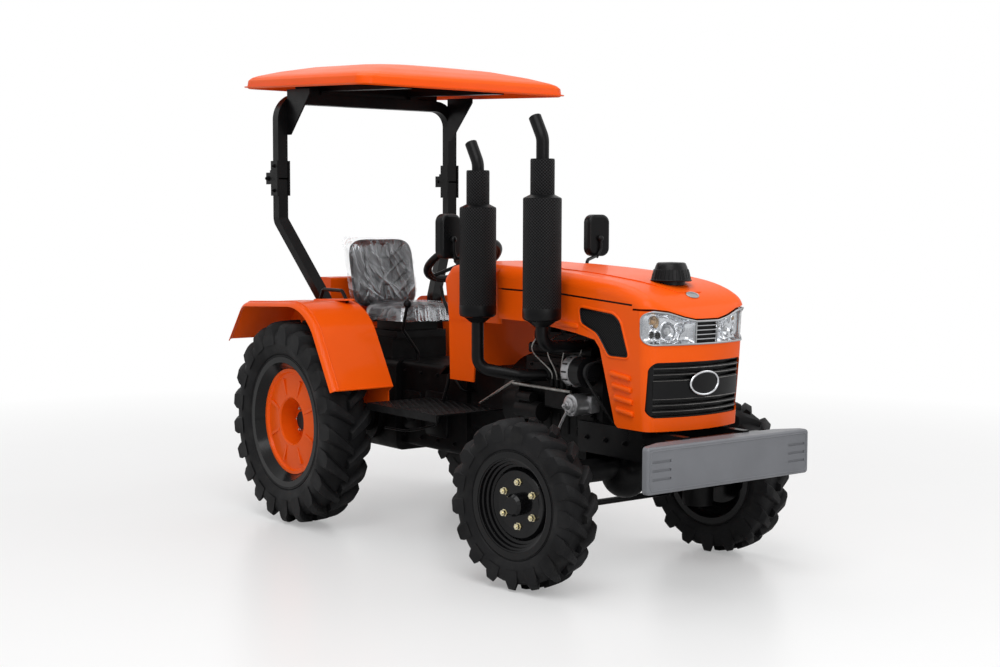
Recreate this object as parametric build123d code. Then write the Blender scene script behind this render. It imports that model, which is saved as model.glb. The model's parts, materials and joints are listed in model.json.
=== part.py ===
from build123d import *
import os
from math import asin, cos, degrees, radians, sin, tan

# Compact four-wheel-drive farm tractor with a sun canopy on a folding roll-over frame.
# Millimetres. Stations (x) run forward from the rear axle, y to the left, z up from the ground.
# main() moves every piece so that the overall length is centred on the origin.

# Overall
WHEELBASE = 1740
FRONT_OVERHANG = 629
REAR_OVERHANG = 888
FRONT_TRACK = 1160
REAR_TRACK = 1210
OVERALL_LENGTH = REAR_OVERHANG + WHEELBASE + FRONT_OVERHANG
REAR_AXLE_X = REAR_OVERHANG - OVERALL_LENGTH / 2
WEIGHT_FACE_X = WHEELBASE + FRONT_OVERHANG
SEAT_GAP = 0.3          # gap between round pieces that seat on each other
MOVE_GAP = 8            # gap between a moving panel and its neighbour

# Tyres and wheels (radii from the wheel axis, offsets from the wheel's middle plane)
REAR_TYRE_R = 503
REAR_TYRE_W = 236
REAR_BEAD_R = 305
REAR_FLANGE_R = 323
REAR_DISC_R = 262
REAR_DISC_FACE = 50     # disc rim outside the middle plane
REAR_RECESS_R = 114
REAR_RECESS_Y = -40     # floor of the disc's middle recess
REAR_BORE_R = 45
REAR_LUGS = 21          # bars on each half of the tread
REAR_LUG_H = 32
REAR_LUG_W = 30
REAR_RIBS = 8           # raised ribs on the disc
FRONT_TYRE_R = 352
FRONT_TYRE_W = 166
FRONT_BEAD_R = 203
FRONT_FLANGE_R = 219
FRONT_BORE_R = 46
FRONT_LUGS = 17
FRONT_LUG_H = 24
FRONT_LUG_W = 25
LUG_SLANT = 38          # bars from the axle's direction
LUG_FOOT = 14           # foot wider than the top
LUG_SINK = 8            # foot below the tread
BEAD_SEAT = 0.36        # bead's offset as a share of the tyre's width

# Axles and steering
KINGPIN_INSET = 140     # kingpin inside the wheel's middle plane
KINGPIN_Y = FRONT_TRACK / 2 - KINGPIN_INSET
KINGPIN_R = 46
SPINDLE_R = 30
STEER_ARM = 160         # kingpin to tie rod eye, to the rear
STEER_REST = 8.5        # front wheels stand turned to the left
TIE_ROD_Z = 300
BEAM_Z = 446            # front axle beam over the hubs
KNUCKLE_TOP_Z = 386
DIFF_Z = 414
DIFF_R = 104
SUPPORT_Z = (520, 650)  # front support rails
TRUMPET_R = 80
TRUMPET_END_Y = 505
SHAFT_R = 40

# Hood
HOOD_REAR_X = 1204
HOOD_NOSE_X = 2222
HOOD_CORNER_X = 2165
HOOD_BOTTOM_Z = 661
HOOD_HALF_W = 258       # at the bottom; the sides lean out to the top
HOOD_LEAN = 3
HOOD_SHEET = 5
HINGE_X = 1232          # hood hinge
HINGE_Z = 1291
HINGE_Y = 150
HINGE_PIN_R = 5
HOOD_TOP = [(900, 1312), (1204, 1304), (1582, 1288), (1900, 1262),
            (2060, 1232), (2160, 1186), (2212, 1132), (2240, 1060)]
HOOD_SEAM = [(1204, 1196), (1640, 1190), (2085, 1163)]
BROW = [(62, 1104), (120, 1116), (190, 1138), (250, 1146), (400, 1146)]   # lid's front edge: y, z
CREASE_PLAN = [(1266, 172), (1900, 150), (2050, 112), (2120, 64)]   # raised middle: station, half width
CREASE_RISE = 4
LOUVRE_TOP = ((1943, 892), (2064, 877))   # uppermost pressed louvre on the side: its rear and front end
LOUVRE_LOW = ((1975, 747), (2078, 733))
LOUVRES = 4
LOUVRE_H = 15
LOUVRE_RISE = 6
HOOD_LOW_EDGE = [(1204, 1066), (1445, 1064), (1733, 1034), (1850, 1014),
                 (1880, 981), (1958, 675), (1975, 661)]
VENT_EDGE = [(1764, 1140), (1970, 1122), (2007, 1096), (2051, 957),
             (1936, 957), (1892, 1015), (1866, 1046), (1771, 1082)]
LAMP_BOTTOM_Z = 1010
LAMP_SPLIT_Y = 56       # half width of the louvre between the lamps
LAMP_REAR_X = 2130
GRILLE_BOTTOM_Z = 716
GRILLE_TOP_Z = 940
GRILLE_HALF_W = 258
GRILLE_CORNER = 36
GRILLE_BARS = 9
GRILLE_BAR_H = 12
GRILLE_FRAME = 24
GRILLE_DEPTH = 34
LAMP_DEPTH = 58
LOUVRE_SETBACK = 8      # lamp louvre behind the lamps' faces
VENT_THICK = 5
HOOD_EDGE_R = 52        # rounded upper edges
HOOD_CORNER_R = 48
CLEANER_X = 2010        # air intake cap

# Cowl and driver's place
COWL_REAR_X = 740
COWL_HALF_W = 262
COWL_BOTTOM_Z = 1040
SKIRT_BOTTOM_Z = 760
WHEEL_CENTRE = (547, 0, 1306)
WHEEL_RING_R = 186
WHEEL_TUBE_R = 13
COLUMN_MEET_X = 640     # rear end of the dash round the column
COLUMN_TILT = 32        # steering column from the vertical
SEAT_HALF_W = 195
SEAT_FRONT_X = 285
SEAT_REAR_X = -95
SEAT_TOP_Z = 1076
SEAT_BACK_TOP_Z = 1420
SEAT_BACK_TILT = 11
SEAT_BACK_DEPTH = 88
SEAT_BASE_Z = (940, 985, 1004)   # steps of the seat's slide
BOX_X = (-455, -320)    # box behind the seat
BOX_HALF_W = 230
BOX_Z = (1040, 1196)
MIRROR_AT = (1041, 437, 1430)    # middle of the left mirror
MIRROR_SIZE = (46, 122, 200)
MIRROR_TURN = 8
POD_AT = (1130, 290, 1256)       # painted foot of the mirror's stem
POD_LENGTH = 72
POD_R = 24

# Fenders and platform
FENDER_OUT_Y = 722
FENDER_IN_Y = 378
FENDER_SHEET = 5
FENDER_LIP = 22         # rolled down at the outer edge, clear of the lugs
FENDER_LINE = [(-548, 885), (-394, 1080), (258, 1108), (500, 704)]
FENDER_BENDS = (90, 300)
FENDER_ROUND = 34       # outer edge of the fender's top
FENDER_WALL_Z = 600     # lower edge of the inner wall
PLATFORM_Z = 640
PLATFORM_OUT_Y = 540
PLATFORM_X = (520, 1090)
PLATFORM_IN_Y = 168
PLATFORM_SHEET = 6
PLATFORM_RIM = 34       # turned down at the outer edge
HANDLE_X = (-90, 170)   # grab handle on the fender
HANDLE_Y = 430
HANDLE_H = 42
HANDLE_R = 9

# Roll-over frame and canopy
POST_SIDE = 55
POST_X = -311
POST_Y = 530
POST_BEND_Z = 1498
POST_FOOT = (-192, 341, 1084)
POST_TOP_Z = 2116
FOLD_X = -372           # fold pin behind the posts
FOLD_Z = 1710
CLAMP_HEIGHT = 177
CLAMP_SHEET = 9
CANOPY_FRONT_X = 600
CANOPY_REAR_X = -560
CANOPY_HALF_W = 612
CANOPY_RIM_Z = 2128     # rim at the front edge
CANOPY_DOME = 124
CANOPY_SLOPE = 2.6      # rises to the rear
CANOPY_SHEET = 6
CANOPY_LAYERS = ((0, 0, 70), (0.2, 3, 70), (0.38, 34, 90), (0.62, 110, 110), (0.86, 230, 140), (1, 380, 150))

# Exhaust stacks on the right side
STACK_Y = -388
FRONT_STACK = (1642, 1104, 1596, 1940)   # station, bottom, top of the body, tip
REAR_STACK = (1192, 1096, 1558, 1848)
STACK_R = 80
SLEEVE_R = 50
SLEEVE_H = 162
PIPE_R = 27
TIP_RISE = 96           # height of the bent tip
TIP_REACH = 52          # bends this far to the rear

# Engine and drive line
ENGINE_X = (1240, 1760)
ENGINE_HALF_W = 150
ENGINE_BOTTOM_Z = 560
ENGINE_TOP_Z = 900
BELL_REAR_X = 1130
GEARBOX_BOTTOM_Z = 380
GEARBOX_TOP_Z = 800
AXLE_CASE_HALF_W = 190
LIFT_CASE_TOP_Z = 905
CRANK_Z = 650
FAN_Z = 880
FAN_X = 1870
FAN_R = 156
FAN_BLADES = 6
MANIFOLD_X = (1290, 1716)
MANIFOLD_Y = (-178, -110)
MANIFOLD_Z = (916, 962)
PUMP_X = (1448, 1590)   # injection pump
PUMP_Z = (690, 776)
CYLINDERS = 4
STARTER_X = (1262, 1420)
STARTER_Z = 664
STARTER_Y = -200
STARTER_R = 42
SOLENOID_R = 24
ALTERNATOR_X = (1640, 1752)
ALTERNATOR_Y = -222
ALTERNATOR_Z = 866
ALTERNATOR_R = 64
PULLEY_R = 36
PULLEY_W = 34
FILTER_AT = (1686, 724)   # oil filter: station, height
FILTER_R = 46
FILTER_END_Y = -262
FILTER_BASE_X = (1600, 1740)
FILTER_BASE_Z = (690, 760)
RADIATOR_X = (1985, 2045)
RADIATOR_Z = (650, 1085)
RADIATOR_HALF_W = 215
SHROUD_X = 1900
SHROUD_HALF_W = 190
SHROUD_Z = (700, 1060)
FAN_GAP = 16

# Front weight
WEIGHT_HALF_W = 455
WEIGHT_Z = (458, 642)
WEIGHT_DEPTH = 84
WEIGHT_BACK_W = 330     # half width of its back face
WEIGHT_FACE_DEPTH = 30  # full width as far back as this
WEIGHT_LINES = 3
WEIGHT_LINE_STEP = 34

# Three-point hitch: arms and links make a parallelogram
ROCK_X = -165
ROCK_Z = 840
ROCK_R = 28
LINK_X = -110
LINK_Z = 392
LINK_ROOT_Y = 212
LINK_EYE_R = 40
LINK_END = (LINK_EYE_R - REAR_OVERHANG, 341, 284)
LINK_BORE_R = 11.2
LIFT_REACH = 270        # pivot to lift rod pin, to the rear
TOP_LINK_Z = 700
PTO_Z = 590
PTO_R = 17.5
PTO_LENGTH = 90
PTO_COLLAR = 13
PTO_FACE_X = -215       # rear face of the axle case
DRAWBAR_Z = 330
DRAWBAR_THICK = 30
DRAWBAR_PIN_X = -600
DRAWBAR_PIN_R = 13


def block(x, y, z):
    """Box between two stations on each axis."""
    size = [abs(b - a) for a, b in (x, y, z)]
    middle = [(a + b) / 2 for a, b in (x, y, z)]
    return Pos(*middle) * Box(*size)


def rod(start, end, radius):
    """Round bar between two points."""
    start, end = Vector(*start), Vector(*end)
    plane = Plane(start, z_dir=end - start)
    return extrude(plane * Circle(radius), (end - start).length)


def disc_y(x, y, z, radius):
    """Round bar across the tractor between two y stations."""
    return rod((x, y[0], z), (x, y[1], z), radius)


def side_slab(edge, y):
    """Outline in the side view, carried across from y[0] to y[1]."""
    face = make_face(Polyline(*[(x, y[0], z) for x, z in edge], close=True))
    return extrude(face, y[1] - y[0], dir=(0, 1, 0))


def bent_bar(points, bend, section):
    """Section carried along a path with rounded corners."""
    path = FilletPolyline(*points, radius=bend)
    return sweep(Plane(path @ 0, z_dir=path % 0) * section, path=path)


def ring_y(profile, y):
    """Profile of (radius, offset) points turned round a wheel's axis; offsets run outward."""
    side = 1 if y > 0 else -1
    face = make_face(Polyline(*[(r, y + side * o, 0) for r, o in profile], close=True))
    return revolve(face, Axis.Y, 360)


def both_sides(piece):
    """The piece and its mirror image as one compound."""
    solids = piece.solids() + mirror(piece, about=Plane.XZ).solids()
    return Compound(solids)


def top_height(x):
    """Hood's middle line height at a station."""
    for (x0, z0), (x1, z1) in zip(HOOD_TOP, HOOD_TOP[1:]):
        if x0 <= x <= x1:
            return z0 + (z1 - z0) * (x - x0) / (x1 - x0)
    return HOOD_TOP[0][1]


# Wheels

def polygon_layer(flats, radius, y):
    """Regular polygon round the wheel's axis at an offset, its flats at the radius."""
    plane = Plane((0, y, 0), x_dir=(1, 0, 0), z_dir=(0, 1, 0))
    return plane * RegularPolygon(radius, flats, major_radius=False)


def tyre_body(radius, width, bead_r, flange_r, flats):
    """Tyre without its lugs: flat facets round the wheel, bulged sides and a solid section."""
    height = radius - bead_r
    belly = bead_r + 0.5 * height
    outer = [(belly, 0.5 * width), (radius - 0.12 * height, 0.45 * width), (radius, 0.32 * width)]
    layers = [(r, -o) for r, o in outer] + [(r, o) for r, o in reversed(outer)]
    body = loft([polygon_layer(flats, r, o) for r, o in layers], ruled=True)
    for side in (-1, 1):
        mouth = polygon_layer(flats, belly - 0.04 * height, side * 0.5 * width)
        seat = polygon_layer(flats, flange_r + 2, side * BEAD_SEAT * width)
        body -= loft([mouth, seat], ruled=True)
    bore = extrude(polygon_layer(flats, bead_r, -width), 2 * width)
    return body - bore


def lug(radius, width, height, bar):
    """Slanted bar at the top of the wheel, on the left half: it leads at the tread's middle, trails at the
    shoulder and is wider at its foot."""
    inner, outer = -0.03 * width, 0.5 * width
    lean = (outer - inner) * tan(radians(LUG_SLANT)) / 2
    tip = lean + bar / 2
    levels = ((bar + LUG_FOOT, radius - height - LUG_SINK), (bar, (radius ** 2 - tip ** 2) ** 0.5))
    faces = []
    for wide, z in levels:
        corners = [(lean - wide / 2, inner, z), (lean + wide / 2, inner, z),
                   (-lean + wide / 2, outer, z), (-lean - wide / 2, outer, z)]
        faces.append(make_face(Polyline(*corners, close=True)))
    return loft(faces, ruled=True)


def tyre(radius, width, bead_r, flange_r, lugs, height, bar):
    """Tyre with herringbone lugs on its axis at the origin; a lug's tip stands on the ground."""
    body = tyre_body(radius - height, width, bead_r, flange_r, lugs)
    left = lug(radius, width, height, bar)
    right = mirror(left, about=Plane.XZ)
    lean = 0.53 * width * tan(radians(LUG_SLANT)) / 2
    phase = 180 - degrees(asin((lean + bar / 2) / radius))
    step = 360 / lugs
    bars = [Rot(0, phase + step * i, 0) * left for i in range(lugs)]
    bars += [Rot(0, phase + step * (i + 0.5), 0) * right for i in range(lugs)]
    return body + bars


def rim(bead_r, flange_r, well_r, width, y):
    """Rim with two flanges and a thick middle."""
    seat = BEAD_SEAT * width
    half = [
        (well_r, 0.2 * width),
        (bead_r - 10, seat + 9),
        (flange_r, seat + 9),
        (flange_r, seat + SEAT_GAP),
        (bead_r - SEAT_GAP, seat + SEAT_GAP),
    ]
    profile = half + [(r, -o) for r, o in reversed(half)]
    return ring_y(profile, y)


def rear_disc(y):
    """Dished disc with a deep middle recess, raised ribs on its face and a notch for the valve."""
    face, floor, sheet = REAR_DISC_FACE, REAR_RECESS_Y, 9
    edge_r = REAR_DISC_R - SEAT_GAP
    dish = 10
    profile = [
        (edge_r, face - 28),
        (edge_r, face),
        (edge_r - 14, face),
        (edge_r - 22, face - dish - 2),
        (REAR_RECESS_R + 6, face - 2),
        (REAR_RECESS_R, face - 8),
        (REAR_RECESS_R - 10, floor),
        (REAR_BORE_R, floor),
        (REAR_BORE_R, floor - sheet),
        (REAR_RECESS_R - 2, floor - sheet),
        (REAR_RECESS_R + 8, face - 14),
        (edge_r - 24, face - 28),
    ]
    side = 1 if y > 0 else -1
    disc = ring_y(profile, y)
    rib_r = (REAR_RECESS_R + 22, edge_r - 42)
    for i in range(REAR_RIBS):
        rib = block((-7, 7), sorted((y + side * (face - dish - 8), y + side * (face - 1))), rib_r)
        disc += Rot(0, 360 / REAR_RIBS * (i + 0.5), 0) * rib
    notch_y = sorted((y + side * (face - 40), y + side * (face + 10)))
    notch = block((-22, 22), notch_y, (edge_r - 30, edge_r + 10))
    return disc - Rot(0, -side * 130, 0) * notch


def rear_hub(y):
    """Half shaft with the flange that carries the disc."""
    flange = REAR_RECESS_Y - 9
    profile = [
        (0, flange + 40),
        (REAR_BORE_R - SEAT_GAP, flange + 40),
        (REAR_BORE_R - SEAT_GAP, flange),
        (REAR_RECESS_R - 14, flange),
        (REAR_RECESS_R - 14, flange - 22),
        (SHAFT_R, flange - 22),
        (SHAFT_R, TRUMPET_END_Y - 70 - abs(y)),
        (0, TRUMPET_END_Y - 70 - abs(y)),
    ]
    return ring_y(profile, y)


def front_disc_profile():
    """Stepped section of the front wheel's disc."""
    return [
        (FRONT_BEAD_R - 22, -4),
        (150, 12),
        (138, 30),
        (112, 26),
        (FRONT_BORE_R - 4, 26),
        (FRONT_BORE_R - 4, 18),
        (116, 18),
        (134, 18),
        (144, 2),
        (FRONT_BEAD_R - 22, -14),
    ]


def front_wheel(y):
    """Rim, disc and hub with its cap in one piece, open at the back for the spindle."""
    hub = [
        (0, 72),
        (36, 72),
        (FRONT_BORE_R, 60),
        (FRONT_BORE_R, 22),
        (60, 18),
        (60, -24),
        (SPINDLE_R + SEAT_GAP, -24),
        (SPINDLE_R + SEAT_GAP, 36),
        (0, 36),
    ]
    wheel = rim(FRONT_BEAD_R, FRONT_FLANGE_R, FRONT_BEAD_R - 22, FRONT_TYRE_W, y)
    return wheel + ring_y(front_disc_profile(), y) + ring_y(hub, y)


def steered(piece, side):
    """Piece of a front wheel turned about its kingpin to where the wheels stand."""
    place = Pos(WHEELBASE, side * KINGPIN_Y, 0)
    return place * Rot(0, 0, STEER_REST) * place.inverse() * piece


def wheels():
    """All wheel pieces at their places."""
    rear_tyre = tyre(REAR_TYRE_R, REAR_TYRE_W, REAR_BEAD_R, REAR_FLANGE_R, REAR_LUGS, REAR_LUG_H, REAR_LUG_W)
    front_tyre = tyre(FRONT_TYRE_R, FRONT_TYRE_W, FRONT_BEAD_R, FRONT_FLANGE_R,
                      FRONT_LUGS, FRONT_LUG_H, FRONT_LUG_W)
    pieces = {}
    for name, side in (("right", -1), ("left", 1)):
        rear_y = side * REAR_TRACK / 2
        front_y = side * FRONT_TRACK / 2
        rear = Pos(0, 0, REAR_TYRE_R)
        front = Pos(WHEELBASE, 0, FRONT_TYRE_R)
        pieces["rear_tyre_" + name] = rear * Pos(0, rear_y, 0) * rear_tyre
        pieces["rear_rim_" + name] = rear * rim(REAR_BEAD_R, REAR_FLANGE_R, REAR_DISC_R, REAR_TYRE_W, rear_y)
        pieces["rear_disc_" + name] = rear * rear_disc(rear_y)
        pieces["rear_hub_" + name] = rear * rear_hub(rear_y)
        pieces["front_tyre_" + name] = steered(front * Pos(0, front_y, 0) * front_tyre, side)
        pieces["front_wheel_" + name] = steered(front * front_wheel(front_y), side)
    return pieces


# Axles and steering

def front_axle():
    """Beam with its differential case, two kingpin tubes and the pivot block."""
    beam = disc_y(WHEELBASE, (-KINGPIN_Y + 30, KINGPIN_Y - 30), BEAM_Z, 50)
    beam += Pos(WHEELBASE, 0, DIFF_Z) * Sphere(DIFF_R)
    beam += block((WHEELBASE - 35, WHEELBASE + 35), (-60, 60), (BEAM_Z, SUPPORT_Z[0]))
    for side in (-1, 1):
        y = side * KINGPIN_Y
        beam += rod((WHEELBASE, y, BEAM_Z + 66), (WHEELBASE, y, KNUCKLE_TOP_Z + 6), 68)
        beam += rod((WHEELBASE, y, BEAM_Z), (WHEELBASE, y, 250), KINGPIN_R)
    return beam


def knuckle(side):
    """Final drive case round the kingpin, with spindle and steering arm."""
    y = side * KINGPIN_Y
    arm_x = WHEELBASE - STEER_ARM
    case = rod((WHEELBASE, y, 232), (WHEELBASE, y, KNUCKLE_TOP_Z), 70)
    drive = disc_y(WHEELBASE, (y, side * (FRONT_TRACK / 2 - 34)), FRONT_TYRE_R, 56)
    case += drive & block((WHEELBASE - 80, WHEELBASE + 80), (y, side * FRONT_TRACK / 2), (200, KNUCKLE_TOP_Z))
    case += disc_y(WHEELBASE, (y, side * (FRONT_TRACK / 2 + 30)), FRONT_TYRE_R, SPINDLE_R)
    case += block((arm_x, WHEELBASE - 40), (y - 17, y + 17), (TIE_ROD_Z - 12, TIE_ROD_Z + 12))
    case += rod((arm_x, y, TIE_ROD_Z - 12), (arm_x, y, TIE_ROD_Z + 12), 22)
    case -= rod((WHEELBASE, y, 244), (WHEELBASE, y, 700), KINGPIN_R + SEAT_GAP)
    case -= rod((arm_x, y, TIE_ROD_Z - 40), (arm_x, y, TIE_ROD_Z + 40), 9)
    return case


def tie_rod():
    """Rod behind the axle with a ball pin up through each steering arm."""
    x = WHEELBASE - STEER_ARM * cos(radians(STEER_REST))
    shift = -STEER_ARM * sin(radians(STEER_REST))
    z = TIE_ROD_Z - 34
    bar = disc_y(x, (shift - KINGPIN_Y, shift + KINGPIN_Y), z, 14)
    for side in (-1, 1):
        y = shift + side * KINGPIN_Y
        bar += rod((x, y, z - 18), (x, y, z + 18), 20)
        bar += rod((x, y, z), (x, y, TIE_ROD_Z + 10), 9 - SEAT_GAP)
    return bar


def rear_axle():
    """Axle case with trumpets out to the wheel hubs."""
    z = REAR_TYRE_R
    case = block((-215, 240), (-AXLE_CASE_HALF_W, AXLE_CASE_HALF_W), (345, GEARBOX_TOP_Z))
    case = fillet(case.edges().filter_by(Axis.X), 40)
    for side in (-1, 1):
        start = side * (AXLE_CASE_HALF_W - 1)
        trumpet = disc_y(0, (start, side * TRUMPET_END_Y), z, TRUMPET_R)
        trumpet += disc_y(0, (side * (TRUMPET_END_Y - 26), side * TRUMPET_END_Y), z, TRUMPET_R + 22)
        trumpet += disc_y(0, (start, side * (AXLE_CASE_HALF_W + 24)), z, TRUMPET_R + 40)
        case += trumpet
        case += disc_y(LINK_X, (start, side * (LINK_ROOT_Y + 24)), LINK_Z, 12)
        case -= disc_y(0, (side * (TRUMPET_END_Y - 72), side * (TRUMPET_END_Y + 5)), z, SHAFT_R + SEAT_GAP)
    case += block((-225, 170), (-165, 165), (GEARBOX_TOP_Z, LIFT_CASE_TOP_Z))
    case += block((-262, -214), (-60, 60), (TOP_LINK_Z - 50, GEARBOX_TOP_Z))
    case -= block((-300, -240), (-24, 24), (TOP_LINK_Z - 80, TOP_LINK_Z + 60))
    case -= disc_y(-252, (-90, 90), TOP_LINK_Z, 9.65)
    case -= disc_y(ROCK_X, (-200, 200), ROCK_Z, ROCK_R + SEAT_GAP)
    return case


# Engine and drive line

def engine_front():
    """Crank pulley, water pump with its pulley and the fan on it."""
    x1 = ENGINE_X[1]
    front = rod((x1 - 4, 0, CRANK_Z), (x1 + 40, 0, CRANK_Z), 82)
    front += rod((x1 - 4, 0, FAN_Z), (x1 + 60, 0, FAN_Z), 60)
    front += rod((x1 + 56, 0, FAN_Z), (FAN_X + 20, 0, FAN_Z), 34)
    for i in range(FAN_BLADES):
        blade = Pos(FAN_X, 0, (FAN_R + 20) / 2) * Rot(0, 0, 32) * Box(5, 62, FAN_R - 20)
        front += Pos(0, 0, FAN_Z) * Rot(360 / FAN_BLADES * i, 0, 0) * blade
    return front


def manifold():
    """Exhaust log on the right of the head, with a runner from each cylinder."""
    log = block(MANIFOLD_X, (MANIFOLD_Y[0], MANIFOLD_Y[1] - 30), MANIFOLD_Z)
    log = fillet(log.edges().filter_by(Axis.X), 14)
    step = (MANIFOLD_X[1] - MANIFOLD_X[0]) / CYLINDERS
    for i in range(CYLINDERS):
        x = MANIFOLD_X[0] + step * (i + 0.5)
        runner_z = (MANIFOLD_Z[0] + 4, MANIFOLD_Z[1] - 4)
        log += block((x - 26, x + 26), (MANIFOLD_Y[0] + 16, MANIFOLD_Y[1]), runner_z)
    return log


def injection_pump():
    """Pump on the right of the block with one union for each cylinder."""
    pump = block(PUMP_X, (-ENGINE_HALF_W - 62, -ENGINE_HALF_W + 2), PUMP_Z)
    pump = fillet(pump.edges().filter_by(Axis.X), 10)
    step = (PUMP_X[1] - PUMP_X[0]) / CYLINDERS
    for i in range(CYLINDERS):
        x = PUMP_X[0] + step * (i + 0.5)
        pump += rod((x, -ENGINE_HALF_W - 34, PUMP_Z[1] - 2), (x, -ENGINE_HALF_W - 34, PUMP_Z[1] + 34), 9)
    return pump


def starter():
    """Starter on the bell housing's right side with its solenoid over it."""
    (x0, x1), y, z = STARTER_X, STARTER_Y, STARTER_Z
    motor = rod((x0, y, z), (x1, y, z), STARTER_R)
    top = z + STARTER_R + SOLENOID_R - 8
    motor += rod((x0 + 20, y - 14, top), (x1 - 50, y - 14, top), SOLENOID_R)
    flange = block((x0, x0 + 24), (y - 30, -ENGINE_HALF_W + 2), (z - STARTER_R - 8, top + SOLENOID_R))
    return motor + flange


def engine():
    """Block, head, rocker cover, sump and bell housing in one casting, dressed on its right side and front."""
    x0, x1 = ENGINE_X
    w = ENGINE_HALF_W
    body = block((x0, x1), (-w, w), (ENGINE_BOTTOM_Z, ENGINE_TOP_Z))
    body += block((x0 + 20, x1 - 10), (-w + 30, w - 30), (ENGINE_TOP_Z - 2, ENGINE_TOP_Z + 110))
    cover = block((x0 + 50, x1 - 40), (-70, 70), (ENGINE_TOP_Z + 108, ENGINE_TOP_Z + 175))
    body += fillet(cover.edges().filter_by(Axis.X).group_by(Axis.Z)[-1], 24)
    body += block((x0 + 20, x1 - 140), (-w + 30, w - 30), (ENGINE_BOTTOM_Z - 92, ENGINE_BOTTOM_Z + 2))
    body += rod((BELL_REAR_X, 0, 690), (x0 + 4, 0, 690), 205)
    return body + engine_front() + manifold() + injection_pump() + starter()


def alternator():
    """Alternator on the engine's right side with its pulley and bracket."""
    (x0, x1), y, z = ALTERNATOR_X, ALTERNATOR_Y, ALTERNATOR_Z
    body = rod((x0, y, z), (x1, y, z), ALTERNATOR_R)
    body += rod((x1, y, z), (x1 + PULLEY_W, y, z), PULLEY_R)
    bracket = block((x0 + 20, x1 - 22), (-ENGINE_HALF_W, y + PULLEY_R - 4), (z - 32, z + 18))
    return body + (bracket - rod((x0, y, z), (x1, y, z), ALTERNATOR_R - 4))


def oil_filter():
    """Filter and pump body low on the engine's right side."""
    x, z = FILTER_AT
    body = disc_y(x, (-ENGINE_HALF_W, FILTER_END_Y), z, FILTER_R)
    return body + block(FILTER_BASE_X, (-ENGINE_HALF_W, -ENGINE_HALF_W - FILTER_R), FILTER_BASE_Z)


def gearbox():
    """Clutch housing and gearbox, with the covered shaft to the front axle."""
    case = block((240, 800), (-160, 160), (GEARBOX_BOTTOM_Z, GEARBOX_TOP_Z))
    clutch = block((799, BELL_REAR_X), (-140, 140), (500, 830))
    body = fillet(case.edges().filter_by(Axis.X), 26) + fillet(clutch.edges().filter_by(Axis.X), 40)
    shaft = rod((790, 0, BEAM_Z - 20), (WHEELBASE - 60, 0, BEAM_Z - 20), 30)
    return body + (shaft - Pos(WHEELBASE, 0, DIFF_Z) * Sphere(DIFF_R + SEAT_GAP))


def front_support():
    """Two rails bolted to the engine's sides, with the cross pieces that carry axle, radiator and weight."""
    low, high = SUPPORT_Z
    front = WEIGHT_FACE_X - WEIGHT_DEPTH
    rail = block((1640, front), (-185, -ENGINE_HALF_W), (low, high))
    rail += block((2055, 2110), (-246, -170), (high - 20, HOOD_BOTTOM_Z + 10))
    foot = block((2055, 2110), (-300, -230), (HOOD_BOTTOM_Z, HOOD_BOTTOM_Z + 10))
    rail += foot & hood_form(HOOD_SHEET + SEAT_GAP)
    body = rail + mirror(rail, about=Plane.XZ)
    body += block((1690, 1790), (-ENGINE_HALF_W - 5, ENGINE_HALF_W + 5), (low, ENGINE_BOTTOM_Z))
    body += block((1975, 2060), (-ENGINE_HALF_W - 5, ENGINE_HALF_W + 5), (high - 24, high))
    body += block((front - 30, front), (-260, 260), (490, 640))
    return body


def radiator():
    """Radiator behind the grille on the front support, with the fan's shroud."""
    core = block(RADIATOR_X, (-RADIATOR_HALF_W, RADIATOR_HALF_W), RADIATOR_Z)
    core += block((SHROUD_X, RADIATOR_X[0] + 1), (-SHROUD_HALF_W, SHROUD_HALF_W), SHROUD_Z)
    return core - rod((SHROUD_X - 20, 0, FAN_Z), (RADIATOR_X[0] + 5, 0, FAN_Z), FAN_R + FAN_GAP)


def front_weight():
    """Cast weight across the front: ends cut back in plan, rounded edges and pressed lines at its ends."""
    x = WEIGHT_FACE_X
    half, back = WEIGHT_HALF_W, WEIGHT_BACK_W
    plan = [(x, half), (x - WEIGHT_FACE_DEPTH, half), (x - WEIGHT_DEPTH, back)]
    plan += [(px, -py) for px, py in reversed(plan)]
    face = make_face(Polyline(*[(px, py, WEIGHT_Z[0]) for px, py in plan], close=True))
    slab = extrude(face, WEIGHT_Z[1] - WEIGHT_Z[0], dir=(0, 0, 1))
    slab = fillet(slab.edges().filter_by(Axis.X), 16)
    slab = fillet(slab.faces().sort_by(Axis.X)[-1].edges(), 10)
    middle = sum(WEIGHT_Z) / 2
    for side in (-1, 1):
        for i in range(WEIGHT_LINES):
            z = middle + WEIGHT_LINE_STEP * (i - (WEIGHT_LINES - 1) / 2)
            slab -= block((x - 4, x + 5), (side * (half - 124), side * (half - 26)), (z - 5, z + 5))
    return slab


# Hood

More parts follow.
